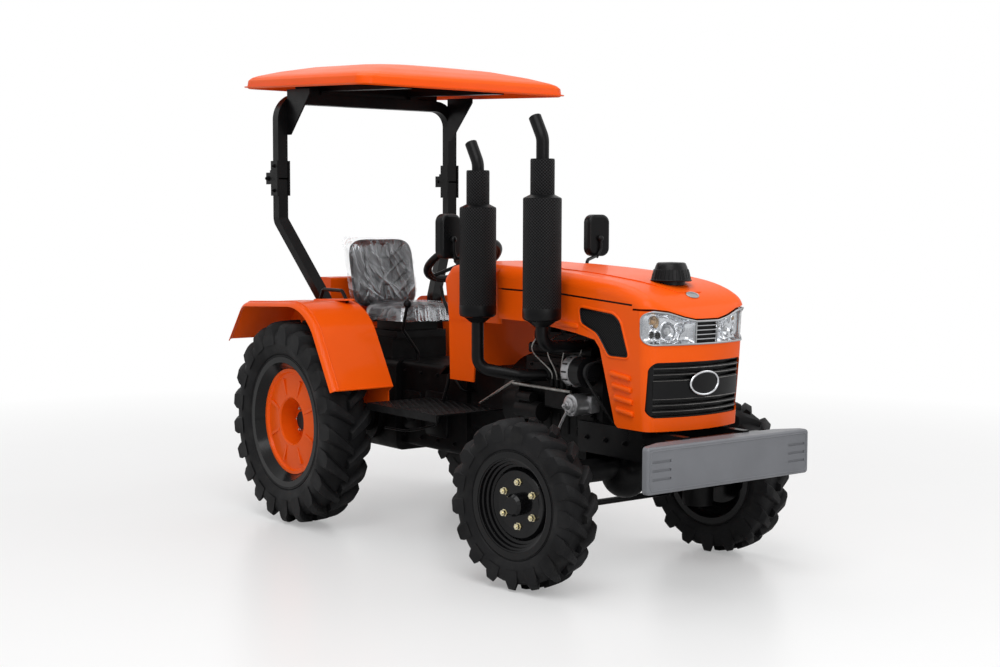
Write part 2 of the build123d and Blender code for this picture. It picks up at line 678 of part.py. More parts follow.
def hood_form(inset):
    """Solid hood shape, set in from the outer skin."""
    half = HOOD_HALF_W - inset
    nose, corner = HOOD_NOSE_X - inset - 18, HOOD_CORNER_X - inset - 18
    rear = HOOD_REAR_X - 300
    plan = Line((rear, -half), (corner, -half))
    plan += ThreePointArc((corner, -half), (nose, 0), (corner, half))
    plan += Polyline((corner, half), (rear, half), (rear, -half))
    face = make_face(plan)
    corners = face.vertices().sort_by(Axis.X)[-2:]
    face = fillet(corners, HOOD_CORNER_R)
    height = 720
    tower = extrude(Pos(0, 0, HOOD_BOTTOM_Z - 1) * face, height, taper=-HOOD_LEAN)
    top = [(x, z - inset) for x, z in HOOD_TOP]
    skin = Spline(*[(x, -500, z) for x, z in top])
    last = top[-1]
    closing = Polyline((last[0], -500, last[1]), (last[0] + 100, -500, last[1]), (last[0] + 100, -500, 600),
                       (top[0][0], -500, 600), (top[0][0], -500, top[0][1]))
    side = extrude(make_face(skin + closing), 1000, dir=(0, 1, 0))
    form = tower & side
    upper = form.faces().sort_by(Axis.Z)[-1]
    edges = [e for e in upper.edges() if e.center().X > HOOD_REAR_X - 100]
    return fillet(edges, HOOD_EDGE_R)


def above_seam(gap):
    """Region over the seam between the lid and the fixed hood, with the brow over the lamps."""
    top = 1500
    edge = [(x, z + gap) for x, z in HOOD_SEAM]
    brow_x = edge[-1][0]
    region = side_slab(edge + [(brow_x, top), (edge[0][0], top)], (-400, 400))
    half = [(y, z + gap) for y, z in BROW]
    outline = [(-y, z) for y, z in reversed(half)] + half + [(half[-1][0], top), (-half[-1][0], top)]
    face = make_face(Polyline(*[(brow_x, y, z) for y, z in outline], close=True))
    return region + extrude(face, HOOD_NOSE_X + 80 - brow_x, dir=(1, 0, 0))


def hinge_lugs():
    """Two lugs and a pin at each side for the lid's hinge."""
    lugs = []
    for side in (-1, 1):
        y = side * HINGE_Y
        pin = disc_y(HINGE_X, (y - 18, y + 18), HINGE_Z, HINGE_PIN_R)
        for step in (-13, 13):
            pin += disc_y(HINGE_X, (y + step - 4, y + step + 4), HINGE_Z, 11)
        lugs.append(pin)
    return lugs


def hinge_brackets():
    """Eyes on the cowl that hold the lid's pins."""
    eyes = []
    for side in (-1, 1):
        y = side * HINGE_Y
        eye = disc_y(HINGE_X, (y - 6, y + 6), HINGE_Z, 11)
        eye += block((HOOD_REAR_X - 1, HINGE_X), (y - 6, y + 6), (HINGE_Z - 26, HINGE_Z))
        eyes.append(eye - disc_y(HINGE_X, (y - 20, y + 20), HINGE_Z, HINGE_PIN_R + SEAT_GAP))
    return eyes


def grille_zone():
    """Grille's opening in the front view, carried back into the hood."""
    height = GRILLE_TOP_Z - GRILLE_BOTTOM_Z
    plane = Plane((HOOD_CORNER_X - 65, 0, GRILLE_BOTTOM_Z + height / 2), x_dir=(0, 1, 0), z_dir=(1, 0, 0))
    return extrude(plane * RectangleRounded(2 * GRILLE_HALF_W, height, GRILLE_CORNER), 200)


def lid_crease():
    """Raised middle panel of the lid, narrower to the nose."""
    plan = [(x, -y, 1100) for x, y in CREASE_PLAN] + [(x, y, 1100) for x, y in reversed(CREASE_PLAN)]
    zone = extrude(make_face(Polyline(*plan, close=True)), 400, dir=(0, 0, 1))
    return (hood_form(-CREASE_RISE) - hood_form(1)) & zone


def pressed_louvres():
    """Louvres pressed out of both sides of the fixed hood, one under the other."""
    raised = hood_form(-LOUVRE_RISE) - hood_form(1)
    bars = []
    for i in range(LOUVRES):
        share = i / (LOUVRES - 1)
        ends = [Vector(*a) + (Vector(*b) - Vector(*a)) * share for a, b in zip(LOUVRE_TOP, LOUVRE_LOW)]
        rear, front = [(p.X, p.Y) for p in ends]
        edge = [rear, front, (front[0], front[1] - LOUVRE_H), (rear[0], rear[1] - LOUVRE_H)]
        bars += (raised & side_slab(edge, (-400, 400))).solids()
    return bars


def hood_lid(skin):
    """Lid over the engine with its hinge lugs and raised middle."""
    lid = skin & above_seam(MOVE_GAP) & block((HOOD_REAR_X + MOVE_GAP, 2300), (-400, 400), (600, 1500))
    for side in (-1, 1):
        notch_y = (side * HINGE_Y - MOVE_GAP, side * HINGE_Y + MOVE_GAP)
        lid -= block((HOOD_REAR_X, HINGE_X + 20), notch_y, (1200, 1400))
    lid += hinge_lugs()
    return lid + lid_crease()


def lamp_band(half_y):
    """Zone of the lamps across the nose between two y stations, under the lid's brow."""
    return block((LAMP_REAR_X, 2300), half_y, (LAMP_BOTTOM_Z, 1200))


def hood_shell(skin):
    """Fixed sides and nose under the lid, open at the vents, lamps and grille."""
    front = block((HOOD_REAR_X, 2300), (-400, 400), (HOOD_BOTTOM_Z, 1500))
    shell = (skin & front) - above_seam(0)
    (rear_x, rear_z), (front_x, _) = HOOD_LOW_EDGE[0], HOOD_LOW_EDGE[-1]
    low = HOOD_LOW_EDGE + [(front_x, 500), (rear_x - 20, 500), (rear_x - 20, rear_z)]
    for edge in (low, VENT_EDGE):
        shell -= side_slab(edge, (-400, 400))
    shell -= lamp_band((-400, 400))
    shell -= grille_zone()
    return shell + pressed_louvres()


def grille():
    """Curved grille with open slots between its bars."""
    front = HOOD_SHEET + 1
    panel = (hood_form(front) - hood_form(front + GRILLE_DEPTH)) & grille_zone()
    step = (GRILLE_TOP_Z - GRILLE_BOTTOM_Z) / GRILLE_BARS
    slot_y = (-GRILLE_HALF_W + GRILLE_FRAME, GRILLE_HALF_W - GRILLE_FRAME)
    for i in range(GRILLE_BARS):
        z = GRILLE_BOTTOM_Z + step * i
        panel -= block((2080, 2300), slot_y, (z + GRILLE_BAR_H / 2, z + step - GRILLE_BAR_H / 2))
    return panel


def hood_parts():
    """Lid, fixed shell, lamps, lamp louvre, grille and side vents cut from one hood shape."""
    skin = hood_form(0) - hood_form(HOOD_SHEET)
    lamp_face = 2
    back = hood_form(lamp_face + LAMP_DEPTH)
    brow = above_seam(-2)
    lamp = (hood_form(lamp_face) - back) & (lamp_band((LAMP_SPLIT_Y, 400)) - brow)
    louvre = (hood_form(lamp_face + LOUVRE_SETBACK) - back) & (lamp_band((-LAMP_SPLIT_Y, LAMP_SPLIT_Y)) - brow)
    vent = hood_form(HOOD_SHEET - 1) - hood_form(HOOD_SHEET - 1 + VENT_THICK)
    return {
        "hood_lid": hood_lid(skin),
        "hood_shell": hood_shell(skin),
        "headlamps": both_sides(lamp),
        "lamp_louvre": louvre,
        "grille": grille(),
        "side_vents": vent & side_slab(VENT_EDGE, (-400, 400)),
    }


def pre_cleaner():
    """Air intake cap on the hood lid."""
    z = top_height(CLEANER_X) + CREASE_RISE + SEAT_GAP
    profile = [(0, 0), (58, 0), (58, 14), (82, 18), (72, 62), (50, 72), (0, 72)]
    face = make_face(Polyline(*[(r, 0, h) for r, h in profile], close=True))
    cap = Pos(CLEANER_X, 0, z - 6) * revolve(face, Axis.Z, 360)
    return cap - hood_form(-CREASE_RISE)


# Driver's place

def cowl():
    """Tank cover and dash between the hood and the driver, with side skirts below."""
    edge = [
        (HOOD_REAR_X, COWL_BOTTOM_Z),
        (HOOD_REAR_X, 1303),
        (930, 1312),
        (800, 1290),
        (COWL_REAR_X, 1230),
        (COWL_REAR_X + 30, COWL_BOTTOM_Z),
    ]
    body = side_slab(edge, (-COWL_HALF_W, COWL_HALF_W))
    long_edges = [e for e in body.edges().filter_by(Axis.Y) if e.center().Z > 1200 and e.center().X < 900]
    body = fillet(long_edges, 30)
    body = fillet(body.faces().sort_by(Axis.Y)[0].edges().filter_by(lambda e: e.center().Z > 1150), 40)
    body = fillet(body.faces().sort_by(Axis.Y)[-1].edges().filter_by(lambda e: e.center().Z > 1150), 40)
    inner_y = COWL_HALF_W - 10
    body -= block((COWL_REAR_X + 40, HOOD_REAR_X + 5), (-inner_y, inner_y), (COWL_BOTTOM_Z - 5, 1230))
    for side in (-1, 1):
        y = side * (COWL_HALF_W - 8)
        skirt = [(800, SKIRT_BOTTOM_Z), (985, SKIRT_BOTTOM_Z), (1010, 1060), (790, 1060)]
        body += side_slab(skirt, (y - 4, y + 4))
    body += block((990, 998), (-COWL_HALF_W + 5, COWL_HALF_W - 5), (830, 1060))
    body += block((COLUMN_MEET_X, COWL_REAR_X + 60), (-60, 60), (COWL_BOTTOM_Z + 20, COWL_BOTTOM_Z + 110))
    body -= column_solid(SEAT_GAP)
    return body + hinge_brackets()


def column_axis():
    """Direction of the steering column, up to the wheel."""
    return Vector(-sin(radians(COLUMN_TILT)), 0, cos(radians(COLUMN_TILT)))


def column_solid(grow):
    """Column from the clutch housing up to the steering wheel's hub."""
    top = Vector(*WHEEL_CENTRE) - column_axis() * (33 + SEAT_GAP)
    foot = top - column_axis() * 540
    return rod(tuple(foot), tuple(top), 32 + grow)


def steering_column():
    """Column standing on the clutch housing."""
    return column_solid(0) - block((700, 1200), (-140, 140), (500, 830))


def steering_wheel():
    """Ring, three spokes and hub."""
    reach = WHEEL_RING_R - WHEEL_TUBE_R
    wheel = Pos(0, 0, -14) * Cylinder(40, 38)
    for angle in (90, 210, 330):
        wheel += Rot(0, 0, angle) * rod((20, 0, -16), (reach, 0, 0), 9)
    wheel += Torus(reach, WHEEL_TUBE_R)
    return Plane(WHEEL_CENTRE, z_dir=column_axis()) * wheel


def seat_base():
    """Slide and suspension under the seat, on the lift case."""
    low, middle, high = SEAT_BASE_Z
    base = block((-90, 190), (-150, 150), (LIFT_CASE_TOP_Z, low))
    base += block((-60, 170), (-110, 110), (low - 1, middle))
    base += block((-100, 260), (-165, 165), (middle - 1, high))
    return base


def seat_cushion():
    """Seat pad with rounded edges."""
    pad = block((SEAT_REAR_X, SEAT_FRONT_X), (-SEAT_HALF_W, SEAT_HALF_W), (SEAT_BASE_Z[-1], SEAT_TOP_Z))
    pad = fillet(pad.edges().filter_by(Axis.Z), 60)
    return fillet(pad.faces().sort_by(Axis.Z)[-1].edges(), 26)


def back_place():
    """Frame of the back rest: origin at its lower front edge, leaning to the rear."""
    return Pos(SEAT_REAR_X - 2, 0, SEAT_TOP_Z - 24) * Rot(0, -SEAT_BACK_TILT, 0)


def seat_back():
    """Back rest leaning to the rear."""
    height = SEAT_BACK_TOP_Z - SEAT_TOP_Z + 20
    pad = Box(SEAT_BACK_DEPTH, 2 * SEAT_HALF_W, height, align=(Align.MAX, Align.CENTER, Align.MIN))
    pad = fillet(pad.edges().filter_by(Axis.X), 90)
    pad = fillet(pad.faces().sort_by(Axis.X)[-1].edges(), 24)
    return back_place() * pad


def seat_bracket():
    """Plate that carries the back rest from the base."""
    plate = Box(12, 120, 260, align=(Align.MAX, Align.CENTER, Align.MIN))
    plate = back_place() * Pos(-SEAT_BACK_DEPTH, 0, -70) * plate
    return plate + block((-215, -90), (-60, 60), (SEAT_BASE_Z[1] - 1, SEAT_BASE_Z[2] - 2))


def fender_region(depth, past=0):
    """Side view of the space under the fender's line, set in by a depth and carried past its ends."""
    line = [Vector(x, z) for x, z in FENDER_LINE]
    runs = [(b - a).normalized() for a, b in zip(line, line[1:])]
    inward = [run.rotate(Axis.Z, -90) for run in runs]
    points = [line[0] + inward[0] * depth - runs[0] * past]
    for i in range(1, len(line) - 1):
        middle = (inward[i - 1] + inward[i]).normalized()
        points.append(line[i] + middle * (depth / cos(radians(inward[i - 1].get_angle(inward[i]) / 2))))
    points.append(line[-1] + inward[-1] * depth + runs[-1] * past)
    deep = 2 * FENDER_LIP
    front, rear = points[-1] + inward[-1] * deep, points[0] + inward[0] * deep
    low = FENDER_WALL_Z - 150
    ends = [points[-1], front, Vector(front.X, low), Vector(rear.X, low), rear, points[0]]
    top = FilletPolyline(*[(p.X, -FENDER_OUT_Y, p.Y) for p in points], radius=[r - depth for r in FENDER_BENDS])
    return make_face(top + Polyline(*[(p.X, -FENDER_OUT_Y, p.Y) for p in ends]))


def fender_form(depth, past=0):
    """Solid under the fender's skin, set in from it, with a rounded outer edge."""
    form = Pos(0, depth, 0) * extrude(fender_region(depth, past), FENDER_OUT_Y - FENDER_IN_Y, dir=(0, 1, 0))
    (rear_x, rear_z), (front_x, front_z) = FENDER_LINE[0], FENDER_LINE[-1]

    def above_ends(edge):
        point = edge @ 0.5
        return point.Z > rear_z + (front_z - rear_z) * (point.X - rear_x) / (front_x - rear_x) + FENDER_LIP / 2

    outer = form.faces().sort_by(Axis.Y)[0].edges()
    return fillet(outer.filter_by(above_ends), FENDER_ROUND - depth)


def fender():
    """Right fender: top sheet rolled down at its outer edge, with an inner wall down to the axle."""
    past = 2 * FENDER_LIP
    sheet = fender_form(0) - fender_form(FENDER_SHEET, past)
    width = FENDER_OUT_Y - FENDER_IN_Y
    sheet -= Pos(0, -width / 2, 0) * extrude(fender_region(FENDER_LIP, past), width, dir=(0, 1, 0))
    wall = Pos(0, width - FENDER_SHEET, 0) * extrude(fender_region(0), FENDER_SHEET, dir=(0, 1, 0))
    (rear_x, rear_z), low = FENDER_LINE[0], FENDER_WALL_Z
    corner = [(rear_x, low - 300), (WHEELBASE, low - 300), (WHEELBASE, low), (-120, low),
              (rear_x + 160, rear_z - 80), (rear_x + 150, rear_z + 115), (rear_x, rear_z + 115)]
    wall -= side_slab(corner, (-FENDER_OUT_Y, 0))
    foot = block((-70, 70), (-FENDER_IN_Y - 60, -FENDER_IN_Y), (low - 40, low + 6))
    foot -= disc_y(0, (-600, 0), REAR_TYRE_R, TRUMPET_R + SEAT_GAP)
    return sheet + wall + foot


def grab_handle():
    """Bent bar on the fender's top."""
    (x0, x1), y = HANDLE_X, -HANDLE_Y
    foot = FENDER_LINE[1][1] + 16
    top = FENDER_LINE[2][1] + HANDLE_H
    points = [(x0, y, foot), (x0 + 30, y, top), (x1 - 50, y, top), (x1, y, foot)]
    return bent_bar(points, 16, Circle(HANDLE_R)) - fender_form(0)


def platform():
    """Right foot plate with its two carriers from the gearbox."""
    (x0, x1), z, edge = PLATFORM_X, PLATFORM_Z, -PLATFORM_OUT_Y
    plate = block((x0, x1), (edge, -PLATFORM_IN_Y), (z - PLATFORM_SHEET, z))
    plate += block((x0, x1), (edge, edge + PLATFORM_SHEET), (z - PLATFORM_RIM, z))
    for x in (x0 + 90, x0 + 200):
        plate += block((x, x + 50), (edge + 20, -PLATFORM_IN_Y + 8), (z - 40, z - PLATFORM_SHEET + 1))
    return plate


def rear_box():
    """Box behind the seat on a bent bracket from the lift case."""
    (x0, x1), (low, high) = BOX_X, BOX_Z
    body = block((x0, x1), (-BOX_HALF_W, BOX_HALF_W), (low, high))
    body = fillet(body.edges().filter_by(Axis.Y), 14)
    body += block((-400, -215), (-130, 130), (LIFT_CASE_TOP_Z, LIFT_CASE_TOP_Z + 20))
    body += block((-400, -380), (-130, 130), (LIFT_CASE_TOP_Z + 19, low + 2))
    return body


def controls():
    """Levers beside the seat and pedals under the dash."""
    knob = (380, -215, 1090)
    points = [(320, -112, GEARBOX_TOP_Z), (320, -112, GEARBOX_TOP_Z + 40), (330, -210, 960), knob]
    lever = bent_bar(points, 30, Circle(8)) + Pos(*knob) * Sphere(21)
    arm = bent_bar([(830, -140, 700), (830, -200, 700), (720, -205, 790)], 24, Circle(9))
    arm += Pos(714, -205, 794) * Rot(0, 52, 0) * Box(12, 70, 60)
    return Compound(both_sides(lever).solids() + both_sides(arm).solids())


def mirror_arm():
    """Right mirror housing on a stem that stands on its painted foot."""
    x, y, z = MIRROR_AT
    foot_x, foot_y, foot_z = POD_AT
    points = [(foot_x, -foot_y, foot_z), (foot_x, -foot_y - 10, foot_z + 60),
              (x + 18, 16 - y, z - 96), (x, -y, z - 72)]
    head = Box(*MIRROR_SIZE)
    head = fillet(head.edges().filter_by(Axis.X), 40)
    head = fillet(head.faces().sort_by(Axis.X)[-1].edges(), 16)
    arm = bent_bar(points, 20, Circle(8)) + Pos(x, -y, z) * Rot(0, 0, MIRROR_TURN) * head
    return arm - mirror_base()


def mirror_base():
    """Painted pod on the cowl's right shoulder that carries the mirror's stem."""
    x, y, z = POD_AT
    pod = rod((x - POD_LENGTH / 2, -y, z), (x + POD_LENGTH / 2, -y, z), POD_R)
    pod = fillet(pod.edges().filter_by(GeomType.CIRCLE), POD_R * 0.7)
    return pod + block((x - 15, x + 15), (-y, -COWL_HALF_W), (z - 12, z + 12))


# Roll-over frame

def lower_posts():
    """Two posts from the axle up to the fold, with clamp plates."""
    x, y, z = POST_FOOT
    section = Rectangle(POST_SIDE, POST_SIDE)
    points = [(-120, 328, 640), (x, y, z), (POST_X, POST_Y, POST_BEND_Z), (POST_X, POST_Y, FOLD_Z - 6)]
    post = bent_bar(points, 60, section)
    foot = block((-190, -40), (296, 360), (540, 660)) - disc_y(0, (200, 600), REAR_TYRE_R, TRUMPET_R + SEAT_GAP)
    post += foot
    half = POST_SIDE / 2
    for side in (-1, 1):
        y0 = POST_Y + side * (half + 1)
        reach = CLAMP_HEIGHT / 2
        plate_y = (y0, y0 + side * CLAMP_SHEET)
        plate = block((POST_X - half - 6, POST_X + half + 6), plate_y, (FOLD_Z - reach, FOLD_Z + reach))
        plate += block((FOLD_X - 22, POST_X), plate_y, (FOLD_Z - 30, FOLD_Z + 30))
        post += plate
        weld_y = (POST_Y + side * (half - 2), y0)
        post += block((POST_X - half, POST_X + half), weld_y, (FOLD_Z - reach, FOLD_Z - 12))
    post -= disc_y(FOLD_X, (400, 700), FOLD_Z, 9)
    return both_sides(post)


def upper_hoop():
    """Folding hoop with its fold eyes and the gussets that carry the canopy."""
    section = Rectangle(POST_SIDE, POST_SIDE)
    start = FOLD_Z + 2
    right = [(POST_X, -POST_Y, start), (POST_X, -POST_Y, POST_TOP_Z)]
    points = right + [(x, -y, z) for x, y, z in reversed(right)]
    hoop = bent_bar(points, 110, section)
    half = POST_SIDE / 2
    for side in (-1, 1):
        y = side * POST_Y
        eye = disc_y(FOLD_X, (y - half, y + half), FOLD_Z, 20)
        eye += block((FOLD_X, POST_X - half + 2), (y - half, y + half), (start, start + 40))
        hoop += eye
        hoop += disc_y(FOLD_X, (y - half - 16, y + half + 16), FOLD_Z, 9 - SEAT_GAP)
        top = POST_TOP_Z + 44
        low = POST_TOP_Z - 186
        face = POST_X + half
        gusset = [(face, low), (face, top), (-60, top - 8), (-60, top - 34), (face + 30, low)]
        hoop += side_slab(gusset, (y - side * 30 - 4, y - side * 30 + 4))
        rail_y = sorted((side * 250, side * 300))
        hoop += block((POST_X - half, POST_X + half), rail_y, (POST_TOP_Z, POST_TOP_Z + 70))
        inside = canopy_form(-CANOPY_SHEET - SEAT_GAP, CANOPY_SHEET + SEAT_GAP)
        rail_x = (CANOPY_REAR_X + 120, CANOPY_FRONT_X - 120)
        hoop += block(rail_x, rail_y, (CANOPY_RIM_Z - 60, CANOPY_RIM_Z + 300)) & inside
    return hoop


def canopy_form(grow, depth):
    """Domed canopy solid; its rim lies on a plane that rises to the rear."""
    length = CANOPY_FRONT_X - CANOPY_REAR_X
    layers = []
    for share, inset, corner in CANOPY_LAYERS:
        size_x, size_y = length - 2 * inset + 2 * grow, 2 * (CANOPY_HALF_W - inset) + 2 * grow
        layers.append(Pos(0, 0, share * CANOPY_DOME - depth) * RectangleRounded(size_x, size_y, corner))
    dome = loft(layers, ruled=True)
    middle = (CANOPY_FRONT_X + CANOPY_REAR_X) / 2
    rise = tan(radians(CANOPY_SLOPE)) * length / 2
    return Pos(middle, 0, CANOPY_RIM_Z + rise) * Rot(0, CANOPY_SLOPE, 0) * dome


def canopy():
    """Canopy sheet, open below."""
    return canopy_form(0, 0) - canopy_form(-CANOPY_SHEET, CANOPY_SHEET)


# Exhaust

def stack(place, pipe_points):
    """Perforated stack with its sleeve, bent tip and lower pipe."""
    x, bottom, top, tip = place
    sleeve = top + SLEEVE_H
    profile = [
        (0, bottom - 44), (PIPE_R + 4, bottom - 44), (STACK_R - 6, bottom - 10), (STACK_R, bottom),
        (STACK_R, top), (SLEEVE_R + 6, top + 12), (SLEEVE_R, top + 12), (SLEEVE_R, sleeve), (0, sleeve),
    ]
    face = make_face(Polyline(*[(r, 0, z) for r, z in profile], close=True))
    body = Pos(x, STACK_Y, 0) * revolve(face, Axis.Z, 360)
    body += bent_bar([(x, STACK_Y, sleeve - 10), (x, STACK_Y, tip - TIP_RISE),
                      (x - TIP_REACH, STACK_Y, tip - 8)], 70, Circle(PIPE_R))
    body += bent_bar(pipe_points, 60, Circle(PIPE_R))
    return body


def exhaust_stacks():
    """Both stacks with their pipes from the engine's right side."""
    x, bottom = FRONT_STACK[0], FRONT_STACK[1]
    front = stack(FRONT_STACK, [(x, STACK_Y, bottom - 40), (x, STACK_Y, 975), (x, -ENGINE_HALF_W + 30, 965)])
    x, bottom = REAR_STACK[0], REAR_STACK[1]
    rear = stack(REAR_STACK, [(x, STACK_Y, bottom - 40), (x, STACK_Y, 850),
                              (1320, -250, 820), (1380, -ENGINE_HALF_W, 820)])
    casting = engine()
    return Compound((front - casting).solids() + (rear - casting).solids())


# Hitch

def link_height(x):
    """Height of the lower link's middle line at a station."""
    return LINK_Z + (LINK_END[2] - LINK_Z) * (LINK_X - x) / (LINK_X - LINK_END[0])


def rod_pin():
    """Lift rod pin on the right lower link."""
    x = LINK_X - LIFT_REACH
    share = LIFT_REACH / (LINK_X - LINK_END[0])
    return x, LINK_ROOT_Y + share * (LINK_END[1] - LINK_ROOT_Y), link_height(x)


def lower_links():
    """Two lower links with ball eyes at their ends and pins for the lift rods."""
    end = LINK_END
    root = (LINK_X, LINK_ROOT_Y, LINK_Z)
    link = rod(root, end, 17)
    link += disc_y(end[0], (end[1] - 18, end[1] + 18), end[2], LINK_EYE_R)
    link += disc_y(LINK_X, (LINK_ROOT_Y - 16, LINK_ROOT_Y + 16), LINK_Z, 30)
    x, y, z = rod_pin()
    link += disc_y(x, (y, y + 52), z, 9)
    link -= disc_y(end[0], (end[1] - 60, end[1] + 60), end[2], LINK_BORE_R)
    link -= disc_y(LINK_X, (LINK_ROOT_Y - 60, LINK_ROOT_Y + 60), LINK_Z, 12 + SEAT_GAP)
    return both_sides(link)


def arm_y():
    """Plane of the lift arms and rods."""
    return rod_pin()[1] + 38


def lift_arms():
    """Rock shaft with an arm at each end, parallel to the lower links."""
    y = arm_y()
    shaft = disc_y(ROCK_X, (-y + 14, y - 14), ROCK_Z, ROCK_R)
    drop = link_height(LINK_X - LIFT_REACH) - LINK_Z
    tip = (ROCK_X - LIFT_REACH, ROCK_Z + drop)
    for side in (-1, 1):
        edge = [(ROCK_X + 20, ROCK_Z + 26), (tip[0] - 6, tip[1] + 16),
                (tip[0] - 6, tip[1] - 16), (ROCK_X + 20, ROCK_Z - 26)]
        shaft += side_slab(edge, (side * (y - 20) - 6, side * (y - 20) + 6))
        shaft += disc_y(tip[0], (side * (y - 24), side * (y + 12)), tip[1], 9)
    return shaft


def lift_rods():
    """Two rods from the lower links up to the lift arms."""
    x, _, z = rod_pin()
    y = arm_y()
    drop = z - LINK_Z
    top = (ROCK_X - LIFT_REACH, y, ROCK_Z + drop)
    bar = rod((x, y, z), top, 11)
    for cx, _, cz in ((x, y, z), top):
        bar += disc_y(cx, (y - 7, y + 7), cz, 22)
    for cx, _, cz in ((x, y, z), top):
        bar -= disc_y(cx, (y - 30, y + 30), cz, 9 + SEAT_GAP)
    return both_sides(bar)


def drawbar():
    """Towing bar under the axle case with a pin hole."""
    low = DRAWBAR_Z - DRAWBAR_THICK / 2
    bar = block((DRAWBAR_PIN_X - 40, 60), (-35, 35), (low, low + DRAWBAR_THICK))
    bar -= rod((DRAWBAR_PIN_X, 0, low - 20), (DRAWBAR_PIN_X, 0, low + 60), DRAWBAR_PIN_R)
    return bar


def pto_shaft():
    """Power take-off stub behind the axle case."""
    shaft = rod((PTO_FACE_X, 0, PTO_Z), (PTO_FACE_X - PTO_LENGTH, 0, PTO_Z), PTO_R)
    shaft += rod((PTO_FACE_X, 0, PTO_Z), (PTO_FACE_X - PTO_COLLAR, 0, PTO_Z), 48)
    return shaft


def assembly():
    """Every node by name, in the rear axle's frame."""
    pieces = wheels()
    pieces.update(hood_parts())
    pieces.update({
        "pre_cleaner": pre_cleaner(),
        "front_axle": front_axle(),
        "knuckle_right": steered(knuckle(-1), -1),
        "knuckle_left": steered(knuckle(1), 1),
        "tie_rod": tie_rod(),
        "rear_axle": rear_axle(),
        "engine": engine(),
        "alternator": alternator(),
        "oil_filter": oil_filter(),
        "gearbox": gearbox(),
        "front_support": front_support(),
        "radiator": radiator(),
        "front_weight": front_weight(),
        "cowl": cowl(),
        "steering_column": steering_column(),
        "steering_wheel": steering_wheel(),
        "seat_base": seat_base() + seat_bracket(),
        "seat_cushion": seat_cushion(),
        "seat_back": seat_back(),
        "fenders": both_sides(fender()),
        "grab_handles": both_sides(grab_handle()),
        "platforms": both_sides(platform()),
        "rear_box": rear_box(),
        "controls": controls(),
        "mirrors": both_sides(mirror_arm()),
        "mirror_bases": both_sides(mirror_base()),
        "lower_posts": lower_posts(),
        "upper_hoop": upper_hoop(),
        "canopy": canopy(),
        "exhaust_stacks": exhaust_stacks(),
        "lower_links": lower_links(),
        "lift_arms": lift_arms(),
        "lift_rods": lift_rods(),
        "drawbar": drawbar(),
        "pto_shaft": pto_shaft(),
    })
    return pieces


def main():
    os.makedirs("parts", exist_ok=True)
    for name, piece in assembly().items():
        export_step(Pos(REAR_AXLE_X, 0, 0) * piece, "parts/" + name + ".step")


if __name__ == "__main__":
    main()
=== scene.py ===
import json
import math

import bmesh
import bpy
import numpy as np
from mathutils import Matrix, Vector


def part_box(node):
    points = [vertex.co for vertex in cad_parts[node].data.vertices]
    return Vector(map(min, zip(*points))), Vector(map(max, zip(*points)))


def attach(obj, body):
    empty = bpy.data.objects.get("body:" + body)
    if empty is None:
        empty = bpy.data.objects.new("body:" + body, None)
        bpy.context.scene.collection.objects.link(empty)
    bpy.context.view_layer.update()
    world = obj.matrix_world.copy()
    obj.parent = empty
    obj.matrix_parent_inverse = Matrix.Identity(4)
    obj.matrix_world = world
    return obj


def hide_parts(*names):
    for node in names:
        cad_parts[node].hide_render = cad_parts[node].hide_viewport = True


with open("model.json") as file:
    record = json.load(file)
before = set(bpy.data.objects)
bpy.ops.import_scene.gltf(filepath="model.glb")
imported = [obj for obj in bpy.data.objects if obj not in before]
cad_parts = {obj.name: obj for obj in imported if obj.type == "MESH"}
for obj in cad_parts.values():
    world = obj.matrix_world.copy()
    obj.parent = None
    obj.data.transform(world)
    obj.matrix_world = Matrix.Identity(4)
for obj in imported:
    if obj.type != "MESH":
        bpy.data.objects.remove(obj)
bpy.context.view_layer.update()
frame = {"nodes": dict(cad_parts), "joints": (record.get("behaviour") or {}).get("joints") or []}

JOINTS = {joint["name"]: joint for joint in frame["joints"]}
NODES = frame["nodes"]
REAR_AXLE_X = float(JOINTS["spin_rear_right"]["pos_m"][0])
SIDES = (-1, 1)     # right, left

# Sizes in millimetres from the rear axle: x forward, y to the left, z up from the ground

# Wheels. A tyre's section goes from bead to crown: share of the height, half width as a share of the width.
# A lug's flank goes from top to foot: half width as a share of the bar, depth as a share of the lug.
TYRES = {
    "rear": dict(radius=503, width=236, bead=305, lug=32, count=21, bar=30),
    "front": dict(radius=352, width=166, bead=203, lug=24, count=17, bar=25),
}
TYRE_SECTION = ((0, 0.34), (0.10, 0.385), (0.16, 0.40), (0.19, 0.385), (0.23, 0.42), (0.45, 0.475),
                (0.66, 0.485), (0.83, 0.455), (0.93, 0.38), (0.98, 0.26), (1, 0.1))
BEAD_LIFT = 2
LUG_SLANT = math.radians(38)
LUG_START, LUG_RUN = -0.03, 0.53        # shares of the width, from the tread's middle outward
LUG_FLANK = ((0.36, 0), (0.42, 0.08), (0.66, 0.9), (0.78, 1))
LUG_WIDE, LUG_WIDEN = 1.35, 0.85        # in bars: width at the middle, growth to the shoulder
LUG_BEND_AT = 0.7                       # share of its run where a bar starts to bend down
LUG_TOP_DROP, LUG_TOP_BEND = 0.016, 0.6     # shares of the radius and of the lug's height
LUG_FOOT, LUG_FOOT_BEND = 1.45, 2.2         # shares of the lug's height
RIM_STEPS = ((192, 66), (187, 64), (185, 50), (178, 47), (175, 34), (166, 31), (163, 20), (152, 17),
             (147, 24), (139, 32))      # radius and place along the axle
RIM_SHEET = 3
# Rings of nuts: pitch circle, place along the axle, nuts, nut radius and finish
NUT_RINGS = {
    "front": ("wheel_nuts", 91, 26, 6, 13, "brass_plate"),
    "rear": ("disc_nuts", 76, -40, 8, 11, "bright_steel"),
}

